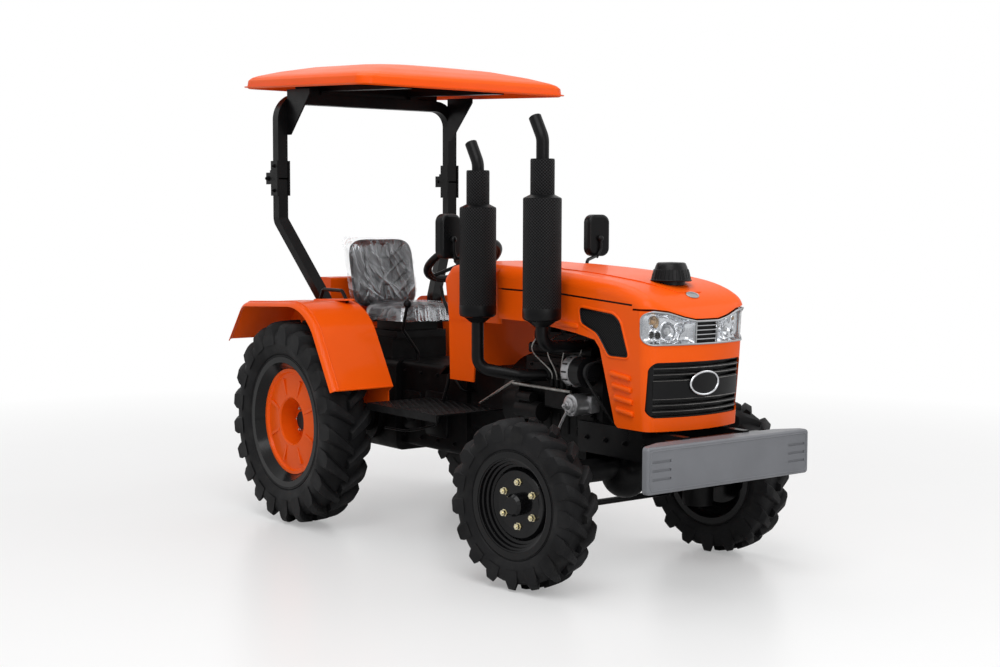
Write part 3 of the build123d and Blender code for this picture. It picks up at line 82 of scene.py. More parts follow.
# Exhaust stacks: station, bottom and top of the body
STACKS = {"front": (1642, 1104, 1596), "rear": (1192, 1096, 1558)}
STACK_Y, STACK_R, SLEEVE_R, SLEEVE_H = -388, 80, 50, 162
STACK_GUARD_GAP, SLEEVE_GAP = (6, 2), (15, 3)           # distance of each sheet from its lower and upper end
STACK_CUP = ((30, -18), (66, -20), (78, -14), (82, -4), (82, 30), (81, 34), (76, 35))
SLEEVE_BAND = ((-3, 6), (3, 6), (3, 15), (-3, 15))      # from the sleeve's radius and the body's top
ROLLED_EDGE = ((0, -2.0), (1, 0.4), (3, 1.0))           # distance from the edge, step out of the radius

# Hood: plan of the nose, lamps, grille and side vents
HOOD_LEAN = math.radians(3)
HOOD_RISE = math.tan(HOOD_LEAN)
HOOD_BASE_Z = 660
NOSE_R, NOSE_MID_X = 612.4, 1591.6
CORNER_R, CORNER_X, CORNER_Y = 48, 2115.5, 210
NOSE_TURN = math.atan2(CORNER_Y, CORNER_X - NOSE_MID_X)
NOSE_RUN = NOSE_R * NOSE_TURN
CORNER_RUN = CORNER_R * (math.pi / 2 - NOSE_TURN)
BROW_Y = (62, 120, 190, 250)
BROW_Z = (1104, 1116, 1138, 1146)
LAMP_LOW_Z = 1010
LAMP_RUN = (58, 280)                    # inner and outer end of a lamp, measured round the nose
LAMP_WIDE, LAMP_TALL = LAMP_RUN[1] - LAMP_RUN[0], 110
LAMP_CORNER, LAMP_BEAD_R, LAMP_POST_R, LENS_SHEET = 40, 4.2, 3.0, 3
LENS_GAP, LAMP_RIM_GAP = (4, 5), (1, 2)     # distances from the lower edge and from the brow
LAMP_BOWLS = ((0.50, 0.42, 33), (0.72, 0.27, 13), (0.84, 0.28, 13), (0.26, 0.60, 20), (0.80, 0.69, 23))
BOWL_DEPTH, BOWL_RIM_H, BOWL_RIM_W = 13, 5, 2.6
PAN_EDGE, PAN_DEPTH, PAN_STEP_H, PAN_STEP_W = 8, 30, 16, 9
BULBS = {"lamp_bulbs": ("bulb_glass", (0, 3)), "lamp_caps": ("black_plastic", (1, 2)),
         "lamp_turn_bulbs": ("amber_glass", (4,))}      # finish, and the bowls they stand in
BULB_LINE = ((1, 0), (1, 8), (0.92, 13), (0.6, 17), (0.1, 19))
BULB_SHARE, BULB_DEPTH = 0.42, 50
LOUVRE_BARS, LOUVRE_BAR_Z, LOUVRE_BAR_HALF, LOUVRE_RUN = 4, (20, 74), 1.8, 54
GRILLE_Z, GRILLE_RUN, GRILLE_BARS = (716, 940), 259, 9
GRILLE_BRIGHT, GRILLE_BAND = (1, 2, 3, 6, 7, 8), (3.1, 5.9)     # counted in bars from the lowest
GRILLE_EDGE_IN, GRILLE_EDGE_R, GRILLE_SCREEN_IN, GRILLE_SCREEN_DEPTH = 18, 1.5, 4, 42
GRILLE_RING = (850, 76, 47)             # height of its middle, half width, half height
OVAL_AT, OVAL_SIZE = (2150, 0, 1225), (30, 20)
VENT_EDGE = ((1764, 1140), (1970, 1122), (2007, 1096), (2051, 957),
             (1936, 957), (1892, 1015), (1866, 1046), (1771, 1082))
RIDGE = ((1573, 1075), (1737, 1064))
LOUVRE_TOP, LOUVRE_LOW = ((1943, 892), (2064, 877)), ((1975, 747), (2078, 733))
LOUVRES, LOUVRE_DROP = 4, 8
HOOD_SEAM = ((1204, 1196), (1640, 1190), (2085, 1163))
# Dark strip in the lid's gap, painted shade for the inside of the hood: heights about the seam, depth inside
# the skin
GAP_SHADE_RISE, GAP_SHADE_DEPTH = (-16, 0, 14), 15
# Intake cap: ribs and dome as (distance from the cap's radius, height from the node's top)
INTAKE_R, INTAKE_RIBS, INTAKE_BRIM = 82, 28, -53
INTAKE_RIB = ((-1, -52), (-6, -30), (-11, -10), (-22, -5))
INTAKE_DOME = ((-11, -14), (-16, 2), (-22, 16), (-28, 20))

# Canopy: share of the dome's height, inset and corner radius of each level, then of the flat crown's rings
CANOPY_MID_X, CANOPY_HALF_X, CANOPY_HALF_Y = 20, 580, 612
CANOPY_RIM_Z, CANOPY_DOME, CANOPY_SHEET = 2128, 124, 6
CANOPY_SLOPE = math.radians(2.6)
CANOPY_LEVELS = ((0, 0, 70), (0.28, 4, 70), (0.40, 16, 76), (0.48, 34, 90), (0.67, 110, 110),
                 (0.88, 230, 140), (1, 380, 150))
CANOPY_CROWN = ((1, 470, 110), (1, 550, 45), (1, 574, 20))
CANOPY_LIP, LIP_H, LIP_LAP = 14, 5, 6
# Black bearer on the hoop, partly a mount and partly painted shade under the canopy's edge: half sizes, lift
BEARER_HALF, BEARER_LIFT = (440, 28), 26

# Seat
SEAT_HALF_W, SEAT_BACK_FOOT, SEAT_BACK_H = 193, (-97, 0, 1052), 364
SEAT_BACK_TILT, SEAT_BACK_DEPTH = math.radians(11), 88
SEAT_GAP = 2
CHANNEL_STEP, CHANNEL_DEPTH, SEAM_DEPTH = 72, 12, 2.5
STRIP_A, CHEVRON_A, BOLSTER_A = 30, 126, 128    # half widths: middle strip, ends of the Vs, bolster lines
PLAN_POWER = 5                                  # of the pads' superellipse
FILM_GROW, FILM_GAP, FILM_FOLDS, FOLD_H = 1.07, 4, 18, 8
FILM_EAR, EAR_REACH, BACK_FALL, CUSHION_FALL = 14, 60, 420, 700

# Driver's place
WHEEL_CENTRE, WHEEL_RING_R, WHEEL_GRIP_R = (547, 0, 1306), 186, 16.5
COLUMN_TILT = math.radians(32)
COLUMN_AXIS = (-math.sin(COLUMN_TILT), 0, math.cos(COLUMN_TILT))
WHEEL_CAP = ((44, 2), (46, 8), (44, 14), (34, 19), (14, 21), (2, 21.5))
DASH_AT, PANEL_HALF, PANEL_DEPTH, PANEL_SUNK = (770, 0, 1260), (168, 40), 14, 4
DIALS = ((-92, 27), (0, 33), (92, 27))          # y and radius
DIAL_MARKS, DIAL_SWEEP, NEEDLE_TURN = 11, 2.2, -0.9
SWITCH_Y, SWITCH_X, SWITCH_Z = (-190, -150, 150, 190), 730, 1186
SWITCH = ((15, -2), (15, 4), (11, 6), (10, 18), (8, 20), (2, 21))
MIRROR_AT, MIRROR_TURN, MIRROR_DEPTH = (1041, 437, 1430), math.radians(8), 46
MIRROR_HALF, MIRROR_CORNER, MIRROR_ROD_R = (53, 92), 34, 7
MIRROR_BALL_DROP, MIRROR_FOOT = 14, (20, -18, -104)     # from the mirror's middle, y outward
MIRROR_BALL = ((4, 0), (11, 3), (15, 9), (15, 15), (11, 20), (4, 23))
FENDER_LINE, FENDER_BENDS = ((-548, 885), (-394, 1080), (258, 1108), (500, 704)), (90, 300)
FENDER_OUT_Y, FENDER_IN_Y, FENDER_BEAD_IN, FENDER_BEAD_R, FENDER_EDGE_R = 722, 378, 40, 5.5, 5
FENDER_WEB = ((-330, 860), (-330, 1070), (-400, 1066), (-538, 896), (-470, 880))    # wall behind the axle
HANDLE_X, HANDLE_Y, HANDLE_PAD = 40, 430, (30, 158)
STUD, STUD_STEP, STUD_IN_Y = ((9, 0), (8.4, 1.6), (6, 2.8), (1, 3.2)), 34, 196

# Engine bay: pulleys as (y, z, radius), hoses, rods and bars as (points, radius)
PULLEYS = ((0, 650, 82), (0, 880, 60), (-222, 866, 36))
BELT_X, BELT_HALF_W, BELT_H = 1770, 7, 7
HOSES = (
    (((1745, 90, 985), (1800, 150, 1012), (1880, 206, 1032), (1988, 206, 1040)), 17),
    (((1745, 120, 705), (1820, 165, 705), (1900, 208, 705), (1988, 206, 705)), 17),
)
RODS = (
    (((984, -220, 661), (1318, -220, 828)), 6),
    (((1232, -220, 776), (1628, -216, 772)), 7),
)
BARS = (
    (((722, -205, 776), (705, -214, 690), (660, -228, 560), (640, -230, 520)), 9),
    (((640, -230, 520), (420, -234, 470), (210, -236, 462)), 6),
    (((615, -180, 1186), (640, -180, 1120), (700, -180, 1040), (740, -180, 1016), (851, -180, 1007)), 8),
)
# Injectors: stations, ends of the pump, pipes as (y, z) from the pump up, blocks as (y, z) and half width
INJECTORS, PUMP_X, PIPE_R = (1340, 1446, 1552, 1658), (1448, 1590), 3.4
PUMP_YZ, PIPE_YZ = ((-184, 806), (-196, 850)), ((-194, 925), (-172, 984), (-100, 1012))
INJECTOR_YZ, INJECTOR_HALF, INJECTOR_H = (-88, 1008), 22, 26
COVERS = ((1350, 836, 72, 40), (1520, 848, 62, 32), (1660, 640, 56, 42))    # station, height, half sizes
CASE_COVERS = ((350, 560, 76, 96), (560, 560, 92, 110))
COVER_Y, CASE_COVER_Y, BOSS_Y = 149, 158, 170
BOSS = ((52, 0), (52, 16), (46, 22), (30, 24), (28, 34), (4, 36))
BLOCK_RIB_X, BLOCK_RIB_STEP, BLOCK_RIB_R = (1290, 1730), 62, 7
BLOCK_RIB_YZ = ((150, 575), (152, 660))
ALTERNATOR_YZ, ALTERNATOR_BOLT_R, ALTERNATOR_SLOT_R = (-222, 866), 46, 66.4
ALTERNATOR_CASE = ((30, -3), (58, -3), (65, 3), (66, 8), (66, 46), (63, 52), (56, 54))
FILTER_X, FILTER_Z = 1686, 724
FILTER_CAP = ((46, 0), (46, 5), (40, 8), (34, 8), (32, 18), (24, 21), (18, 21), (17, 30), (12, 33), (2, 34))
FILTER_ROD = ((-6, -18, -26), (-40, -24, -84), (-70, -26, -150))            # from the cap's foot
# Rows of bolts on both sides: stations, distances from the middle, heights, nut radius
SIDE_BOLTS = (
    ((1700, 1820, 1940, 2060, 2200), 184.5, (585,), 11),
    ((280, 420, 560, 700), 159.5, (430, 750), 9),
)
HEAD_BOLT_X, HEAD_BOLT_Y, HEAD_BOLT_Z, HEAD_BOLT_R = (1310, 1420, 1530, 1640), 55, 1074.5, 8
COVER_BOLT_Y, COVER_BOLT_IN, COVER_BOLT_R = 160.5, 12, 7
CLAMP_BOLT_RISES, CLAMP_BOLT_R, FOLD_BOLT_R = (-62, 62), 9, 12
FOLD_X, FOLD_Z, POST_X, CLAMP_Y, HOOP_TOP_Z = -372, 1710, -311, 568, 2143
WEIGHT_X, WEIGHT_MID_Z, WEIGHT_HALF_Y, WEIGHT_HALF_Z, WEIGHT_EDGE = 2369, 550, 455, 92, 15
GUARD_X, GUARD_Z, GUARD_HALF_Y, GUARD_H = (-216, -316), 596, 96, 74
COUPLER_X, COUPLER_Y, COUPLER_Z = -224, (-96, -60, 60, 96), 862
COUPLER = ((14, 0), (14, 10), (18, 12), (18, 34), (13, 36), (13, 46), (3, 47))

# The photograph's camera, in the same frame
CAMERA_AT = (6570.95, -4373.64, 1517.33)
CAMERA_YAW, CAMERA_PITCH, CAMERA_ROLL = 2.4891576, -0.0766523, 0.0029561
LENS, SENSOR = 54.693, 36

# Studio, in metres: place, target, size and power of each lamp
LAMPS = {
    "key_lamp": ((3.2, -3.4, 6.2), (0.3, 0, 0.8), 4.5, 222),
    "front_lamp": ((6.5, -1.5, 2.6), (0.6, 0, 0.8), 3.0, 80),
    "fill_lamp": ((4.0, 5.0, 4.5), (0.3, 0, 0.9), 4.0, 64),
    "top_lamp": ((-1.0, 0.0, 6.5), (0, 0, 0), 5.0, 134),
}
WHITE = (1, 1, 1, 1)
SKY_LIGHT = 0.5             # strength of the white world as light; it looks full white
FLOOR_HALF = 300
FLOOR_GLOW = 0.3            # share of plain white in the floor as the camera sees it
FLOOR_FADE = (2.2, 6.5)     # distances from the middle over which it rises to full white


# Meshes from arrays

def metres(points):
    """Points from the rear axle's frame in millimetres to the shared frame in metres."""
    return np.asarray(points, float) / 1000 + np.array([REAR_AXLE_X, 0, 0])


def from_axle(place):
    """A place in the shared frame in metres to the rear axle's frame in millimetres."""
    return (np.asarray(place, float) - np.array([REAR_AXLE_X, 0, 0])) * 1000


def points_of(x, y, z):
    """Points from three coordinates, each a number or an array."""
    return np.stack(np.broadcast_arrays(x, y, z), -1)


def unit(vectors):
    """Vectors at length one."""
    vectors = np.asarray(vectors, float)
    return vectors / np.linalg.norm(vectors, axis=-1, keepdims=True)


def around(count):
    """Even angles round a circle."""
    return np.linspace(0, 2 * np.pi, count, endpoint=False)


def quads(rows, cols, wrap_rows=False, wrap_cols=False):
    """Faces of a grid of rows by cols points, closed along an axis where it wraps."""
    r = np.arange(rows if wrap_rows else rows - 1)
    c = np.arange(cols if wrap_cols else cols - 1)
    r, c = np.meshgrid(r, c, indexing="ij")
    r1, c1 = (r + 1) % rows, (c + 1) % cols
    faces = np.stack([r * cols + c, r * cols + c1, r1 * cols + c1, r1 * cols + c], -1)
    return faces.reshape(-1, 4)


def capped(rings):
    """Rings of points joined one to the next, the first and the last closed by one face each."""
    count, sides = rings.shape[:2]
    faces = quads(count, sides, wrap_cols=True).tolist()
    last = (count - 1) * sides
    faces += [list(range(sides))[::-1], list(range(last, last + sides))]
    return rings.reshape(-1, 3), faces


def closed(rings):
    """Rings of points joined one to the next, and the last to the first."""
    return rings.reshape(-1, 3), quads(*rings.shape[:2], wrap_rows=True, wrap_cols=True)


def join(parts):
    """Several (points, faces) pairs as one pair."""
    points, faces, start = [], [], 0
    for part_points, part_faces in parts:
        points.append(part_points)
        faces += [[int(i) + start for i in face] for face in part_faces]
        start += len(part_points)
    return np.concatenate(points), faces


def mirrored(shape):
    """The shape and its image on the other side, joined."""
    points, faces = shape
    return join([(points, faces), (points * np.array([1, -1, 1]), [list(face)[::-1] for face in faces])])


def moved(shape, offset):
    """The shape, shifted."""
    points, faces = shape
    return points + np.asarray(offset, float), faces


def aimed(shape, origin, axis):
    """The shape turned so that its z axis lies along axis, then moved to origin."""
    axis = unit(axis)
    helper = np.array([1.0, 0, 0]) if abs(axis[2]) > 0.9 else np.array([0, 0, 1.0])
    across = unit(np.cross(helper, axis))
    up = np.cross(axis, across)
    points, faces = shape
    return points @ np.stack([across, up, axis]) + np.asarray(origin, float), faces


def lathe(profile, segments):
    """Rings of a (radius, height) profile round the z axis, each end closed by one face."""
    radius, height = np.asarray(profile, float).T[:, :, None]
    turn = around(segments)
    return capped(points_of(radius * np.cos(turn), radius * np.sin(turn), height))


def lathe_at(profile, segments, spot, axis):
    """A lathe shape that stands on a spot along an axis."""
    return aimed(lathe(profile, segments), spot, axis)


def spun(section, count):
    """Closed ring: a closed (radius, y) section turned round the y axis."""
    radius, y = section.T[:, :, None]
    turn = around(count)
    return closed(points_of(radius * np.sin(turn), y, radius * np.cos(turn)))


def smooth_line(points, count):
    """Even steps along a curve through the points: a cubic between neighbours, whose slope at a point is
    that of the line from the point before to the point after."""
    p = np.asarray(points, float)
    p = np.concatenate([2 * p[:1] - p[1:2], p, 2 * p[-1:] - p[-2:-1]])
    t = np.linspace(0, len(p) - 3 - 1e-9, count)
    i = t.astype(int)
    f = (t - i)[:, None]
    a, b, c, d = p[i], p[i + 1], p[i + 2], p[i + 3]
    bend = (2 * a - 5 * b + 4 * c - d) * f ** 2 + (3 * b - a - 3 * c + d) * f ** 3
    return 0.5 * (2 * b + (c - a) * f + bend)


def swept(path, along, across, radius, sides):
    """Rings of a circle carried along a path, square to it, each starting on its across side."""
    across = unit(across)
    up = np.cross(along, across)
    turn = around(sides)[None, :, None]
    ring = across[:, None] * np.cos(turn) + up[:, None] * np.sin(turn)
    radius = np.broadcast_to(np.asarray(radius, float), (len(path),))
    return path[:, None] + ring * radius[:, None, None]


def tube(path, radius, sides):
    """Circle carried along a path, each end closed by one face; the radius may change along it."""
    path = np.asarray(path, float)
    along = unit(np.gradient(path, axis=0))
    helper = np.eye(3)[int(np.argmin(np.abs(along).mean(0)))]
    return capped(swept(path, along, np.cross(along, helper), radius, sides))


def loop_tube(path, radius, sides=10):
    """Circle carried round a closed path; the first direction lies in the path's mean plane."""
    path = np.asarray(path, float)
    along = unit(np.roll(path, -1, 0) - np.roll(path, 1, 0))
    arms = path - path.mean(0)
    normal = unit(np.cross(arms, np.roll(arms, -1, 0)).sum(0))
    return closed(swept(path, along, np.cross(along, normal), radius, sides))


def shell(points, depth):
    """Closed sheet: a grid of points and the same grid moved back by depth, joined round its edge."""
    points = np.asarray(points, float)
    rows, cols = points.shape[:2]
    normal = np.cross(np.gradient(points, axis=0), np.gradient(points, axis=1))
    normal /= np.maximum(np.linalg.norm(normal, axis=-1), 1e-9)[..., None]
    back = points - normal * depth
    front = quads(rows, cols)
    index = np.arange(rows * cols).reshape(rows, cols)
    edge = np.concatenate([index[0, :-1], index[:-1, -1], index[-1, :0:-1], index[:0:-1, 0]])
    after = np.roll(edge, -1)
    total = rows * cols
    rim = np.stack([edge, after, after + total, edge + total], -1)
    faces = np.concatenate([front, front[:, ::-1] + total, rim])
    return np.concatenate([points.reshape(-1, 3), back.reshape(-1, 3)]), faces.tolist()


def round_rect(half_x, half_y, radius, steps=6):
    """Rectangle with round corners, anticlockwise from its right side."""
    half_x, half_y = max(half_x, 2), max(half_y, 2)
    radius = min(radius, half_x, half_y)
    turn = np.linspace(0, np.pi / 2, steps + 1)
    turns = np.concatenate([turn + quarter * np.pi / 2 for quarter in range(4)])
    signs = np.repeat([(1, 1), (-1, 1), (-1, -1), (1, -1)], steps + 1, axis=0)
    middle = signs * np.array([half_x - radius, half_y - radius])
    return middle + radius * np.stack([np.cos(turns), np.sin(turns)], -1)


def rounded(points, radius, steps=5):
    """Outline whose corners are cut by short curves that touch both neighbouring edges."""
    corner = np.asarray(points, float)
    ends = []
    for step in (1, -1):
        edge = np.roll(corner, step, 0) - corner
        length = np.linalg.norm(edge, axis=1)[:, None]
        ends.append(corner + np.minimum(radius, 0.45 * length) * edge / length)
    start, end = ends
    t = np.linspace(0, 1, steps)[None, :, None]
    curve = (1 - t) ** 2 * start[:, None] + 2 * t * (1 - t) * corner[:, None] + t ** 2 * end[:, None]
    return curve.reshape(-1, 2)


def filleted(points, radii, steps=14):
    """Open line whose inner corners are arcs of the given radii: each turns evenly about its centre from the
    edge before the corner to the edge after it."""
    points = np.asarray(points, float)
    share = np.linspace(0, 1, steps)[:, None]
    line = [points[:1]]
    for before, corner, after, radius in zip(points, points[1:], points[2:], radii):
        u, v = unit(corner - before), unit(after - corner)
        half = math.acos(np.clip(u @ v, -1, 1)) / 2
        middle = corner + unit(v - u) * radius / math.cos(half)
        first, last = (corner + way * radius * math.tan(half) - middle for way in (-u, v))
        arc = np.sin((1 - share) * 2 * half) * first + np.sin(share * 2 * half) * last
        line.append(middle + arc / math.sin(2 * half))
    return np.concatenate(line + [points[-1:]])


def inset(outline, depth):
    """Anticlockwise outline moved inward by depth at each point."""
    run = np.roll(outline, -1, 0) - np.roll(outline, 1, 0)
    run = run / np.maximum(np.linalg.norm(run, axis=1), 1e-9)[:, None]
    return outline + depth * np.stack([-run[:, 1], run[:, 0]], -1)


def plate(outline, depth, bevel, origin, across, up):
    """Flat plate: an anticlockwise outline along across and up, thick along their cross product, with the
    outer edge rounded by the bevel."""
    across, up = np.asarray(across, float), np.asarray(up, float)
    out = np.cross(across, up)
    levels = ((0, 0), (0, depth - bevel), (0.3 * bevel, depth - 0.3 * bevel), (bevel, depth))
    rings = []
    for inward, height in levels:
        flat = inset(np.asarray(outline, float), inward)
        rings.append(np.asarray(origin, float) + flat[:, :1] * across + flat[:, 1:] * up + height * out)
    return capped(np.array(rings))


def node_box(name):
    """Lowest and highest corner of a CAD node in millimetres from the rear axle."""
    return [from_axle(corner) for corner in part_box(name)]


def on_node(name, spot):
    """Nearest point of a CAD node's surface to a spot, and its outward normal."""
    _, place, normal, _ = NODES[name].closest_point_on_mesh(Vector(metres(spot)))
    return from_axle(place), np.array(normal)


def linked(name, data):
    """New object in the scene."""
    thing = bpy.data.objects.new(name, data)
    bpy.context.scene.collection.objects.link(thing)
    return thing


def add_pattern(mesh, uv):
    """Pattern map of a mesh from one row per point."""
    layer = mesh.uv_layers.new(name="pattern")
    corner = np.empty(len(mesh.loops), np.int32)
    mesh.loops.foreach_get("vertex_index", corner)
    layer.data.foreach_set("uv", np.asarray(uv, np.float32).reshape(-1, 2)[corner].ravel())


def face_outward(mesh):
    """Turns a mesh's faces outward."""
    work = bmesh.new()
    work.from_mesh(mesh)
    bmesh.ops.recalc_face_normals(work, faces=work.faces)
    work.to_mesh(mesh)
    work.free()


def piece(name, shape, finish, body="chassis", uv=None, smooth=40):
    """Mesh object from (points in mm, faces), riding on a body. uv gives its pattern map, and edges that turn
    by more than smooth degrees stay sharp."""
    points, faces = shape
    mesh = bpy.data.meshes.new(name)
    mesh.from_pydata(metres(points.reshape(-1, 3)).tolist(), [], [list(map(int, face)) for face in faces])
    if uv is not None:
        add_pattern(mesh, uv)
    face_outward(mesh)
    mesh.shade_smooth()
    mesh.set_sharp_from_angle(angle=math.radians(smooth))
    mesh.materials.append(FINISHES[finish])
    thing = linked(name, mesh)
    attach(thing, body)
    return thing


# Finishes

class Nodes:
    """Adds nodes to a node tree and joins them."""

    def __init__(self, tree):
        self.tree = tree

    def feed(self, socket, value):
        """Gives a socket a plain value, or links it to another socket."""
        if isinstance(value, bpy.types.NodeSocket):
            self.tree.links.new(value, socket)
        else:
            socket.default_value = value

    def add(self, kind, sockets=(), **attributes):
        """New node with its attributes, then what its sockets are fed with."""
        node = self.tree.nodes.new("ShaderNode" + kind)
        for key, value in attributes.items():
            setattr(node, key, value)
        for key, value in dict(sockets).items():
            self.feed(node.inputs[key], value)
        return node

    def ramp(self, source, low, high, out_low=0.0, out_high=1.0):
        """A value between low and high, spread from out_low to out_high."""
        ends = {"From Min": low, "From Max": high, "To Min": out_low, "To Max": out_high}
        return self.add("MapRange", {"Value": source, **ends}).outputs["Result"]

    def maths(self, operation, first, second):
        """Two values, added, multiplied or compared."""
        return self.add("Math", {0: first, 1: second}, operation=operation).outputs["Value"]


class Finish(Nodes):
    """One procedural material built up from patterns on Object coordinates or a piece's own UV map."""

    def __init__(self, name, colour, rough, metal=0.0, **sockets):
        """Plain shader; other sockets are named with _ for a space."""
        self.material = bpy.data.materials.new(name)
        self.material.use_nodes = True
        super().__init__(self.material.node_tree)
        self.shader = self.tree.nodes["Principled BSDF"]
        self.colour = (*colour, 1)
        self.rough = rough
        values = {"Base_Color": self.colour, "Roughness": rough, "Metallic": metal, **sockets}
        for socket, value in values.items():
            self.feed(self.shader.inputs[socket.replace("_", " ")], value)

    def place(self):
        """Object coordinates."""
        return self.add("TexCoord").outputs["Object"]

    def pattern(self):
        """The piece's own UV map."""
        return self.add("UVMap", uv_map="pattern").outputs["UV"]

    def pattern_parts(self):
        """The two values that the piece's own UV map holds."""
        parts = self.add("SeparateXYZ", {"Vector": self.pattern()})
        return parts.outputs["X"], parts.outputs["Y"]

    def noise(self, scale, detail):
        """Cloudy value over Object coordinates."""
        node = self.add("TexNoise", {"Vector": self.place(), "Scale": scale, "Detail": detail})
        return node.outputs["Fac"]

    def tint(self, mask, colour):
        """Lays a second colour over the base where the mask is high."""
        current = self.shader.inputs["Base Color"]
        under = current.links[0].from_socket if current.is_linked else self.colour
        mix = self.add("Mix", {"A": under, "B": (*colour, 1), "Factor": mask}, data_type="RGBA")
        self.feed(current, mix.outputs["Result"])
        return self

    def uneven(self, scale, shade, spread):
        """Soft cloudy change of colour, down to a share of it, and of gloss."""
        cloud = self.noise(scale, 4.0)
        self.tint(self.ramp(cloud, 0.35, 0.75), tuple(shade * c for c in self.colour[:3]))
        gloss = self.ramp(cloud, 0.3, 0.7, self.rough - spread, self.rough + spread)
        self.feed(self.shader.inputs["Roughness"], gloss)
        return self

    def bump(self, height, strength, depth):
        """Bumps from a height, on top of those already there."""
        current = self.shader.inputs["Normal"]
        sockets = {"Height": height, "Strength": strength, "Distance": depth}
        if current.is_linked:
            sockets["Normal"] = current.links[0].from_socket
        self.feed(current, self.add("Bump", sockets).outputs["Normal"])
        return self

    def grain(self, scale, strength, depth, detail=2.0):
        """Fine bumps."""
        return self.bump(self.noise(scale, detail), strength, depth)

    def dust(self, colour, scale, amount):
        """Pale dust in patches."""
        return self.tint(self.ramp(self.noise(scale, 6.0), 0.52, 0.8, 0.0, amount), colour)


# Plain finishes: base values, then the patterns laid over them in this order: uneven (scale, shade, spread),
# grain (scale, strength, depth in metres, detail) and dust (colour, scale, amount)
PATTERNS = ("uneven", "grain", "dust")
RECIPES = {
    # Glossy lacquer with a fine orange-peel skin and a thin film of dust
    "orange_paint": dict(
        colour=(0.82, 0.094, 0.002), rough=0.4, Specular_IOR_Level=0.08, Coat_Weight=0.14, Coat_Roughness=0.1,
        uneven=(3.0, 0.93, 0.05), grain=(260, 0.05, 0.0004), dust=((0.86, 0.13, 0.008), 14, 0.10)),
    # Satin black paint with cloudy gloss
    "black_paint": dict(
        colour=(0.0036, 0.0036, 0.004), rough=0.34, Specular_IOR_Level=0.12,
        uneven=(8, 0.6, 0.1), grain=(500, 0.06, 0.0003), dust=((0.014, 0.0135, 0.013), 18, 0.25)),
    # Black painted castings with a sandy skin
    "cast_black": dict(
        colour=(0.0034, 0.0034, 0.0037), rough=0.45, Specular_IOR_Level=0.1,
        uneven=(10, 0.5, 0.12), grain=(220, 0.35, 0.0012, 5), dust=((0.016, 0.015, 0.014), 22, 0.3)),
    # Dull black rubber with grey scuffs
    "tyre_rubber": dict(
        colour=(0.0075, 0.0075, 0.0082), rough=0.58, Specular_IOR_Level=0.14,
        uneven=(7, 0.55, 0.12), grain=(180, 0.25, 0.001, 6), dust=((0.03, 0.029, 0.027), 16, 0.3)),
    # Moulded black plastic with a fine grain
    "black_plastic": dict(
        colour=(0.0045, 0.0045, 0.005), rough=0.33, Specular_IOR_Level=0.15,
        uneven=(12, 0.7, 0.08), grain=(700, 0.12, 0.0003)),
    # Bare cast aluminium
    "cast_metal": dict(
        colour=(0.42, 0.42, 0.43), rough=0.38, metal=0.9,
        uneven=(20, 0.6, 0.12), grain=(260, 0.3, 0.0008, 5), dust=((0.1, 0.095, 0.09), 30, 0.4)),
    # Plated steel with fine scratches
    "bright_steel": dict(
        colour=(0.62, 0.61, 0.58), rough=0.26, metal=1.0, uneven=(30, 0.75, 0.1), grain=(600, 0.08, 0.0002)),
    # Yellow-plated nuts
    "brass_plate": dict(colour=(0.74, 0.68, 0.48), rough=0.3, metal=1.0, uneven=(40, 0.7, 0.1)),
    # Bright plating
    "chrome": dict(colour=(0.62, 0.63, 0.65), rough=0.1, metal=1.0, uneven=(25, 0.92, 0.03)),
    # Grey paint on a cast weight
    "grey_paint": dict(
        colour=(0.150, 0.155, 0.168), rough=0.42, Specular_IOR_Level=0.3,
        uneven=(6, 0.86, 0.07), grain=(160, 0.22, 0.0008, 4)),
    # Clear moulded lens
    "lamp_glass": dict(
        colour=(0.95, 0.96, 0.97), rough=0.03, Transmission_Weight=1.0, IOR=1.42, grain=(60, 0.02, 0.0005)),
    # Warm tinted bulb of the turn lamps
    "amber_glass": dict(
        colour=(0.92, 0.6, 0.3), rough=0.12, Transmission_Weight=0.6, IOR=1.45, grain=(120, 0.1, 0.0005)),
    # Silvered glass
    "mirror_glass": dict(colour=(0.82, 0.84, 0.85), rough=0.03, metal=1.0, uneven=(6, 0.97, 0.01)),
    # Silver-painted trim
    "satin_silver": dict(colour=(0.36, 0.37, 0.38), rough=0.3, metal=0.9, uneven=(18, 0.9, 0.05)),
    # Thin worn plating on the grille's edges
    "dark_chrome": dict(colour=(0.16, 0.155, 0.15), rough=0.3, metal=1.0, uneven=(40, 0.6, 0.1)),
    # Glossy black plastic and rim paint
    "gloss_black": dict(
        colour=(0.0035, 0.0035, 0.004), rough=0.18, Specular_IOR_Level=0.2, uneven=(15, 0.7, 0.05)),
    # Frosted bulb shield
    "bulb_glass": dict(
        colour=(0.8, 0.81, 0.82), rough=0.22, Transmission_Weight=0.3, grain=(160, 0.1, 0.0005)),
    # Zinc-plated pipes and rods, darkened in patches
    "dull_steel": dict(
        colour=(0.34, 0.335, 0.32), rough=0.4, metal=0.9, uneven=(30, 0.5, 0.12), grain=(500, 0.1, 0.0002)),
    # White print on the dials
    "white_mark": dict(colour=(0.7, 0.7, 0.7), rough=0.5, uneven=(20, 0.9, 0.04)),
    # Black rubber of hoses and belt
    "hose_rubber": dict(
        colour=(0.012, 0.012, 0.0125), rough=0.55, Specular_IOR_Level=0.35,
        uneven=(14, 0.6, 0.1), grain=(300, 0.2, 0.0004)),
}
HOLE_EDGE = 0.06
# Punched sheets: pitch of the holes in metres, and a hole's radius as a share of it
PUNCHED = {"guard_mesh": (0.0135, 0.30), "vent_mesh": (0.011, 0.33)}


def plain_finish(name, recipe):
    """Material from a recipe: its base values, then each pattern that it names."""
    finish = Finish(name, **{key: value for key, value in recipe.items() if key not in PATTERNS})
    lay = {"uneven": finish.uneven, "grain": finish.grain, "dust": finish.dust}
    for key in PATTERNS:
        if key in recipe:
            lay[key](*recipe[key])
    return finish.material


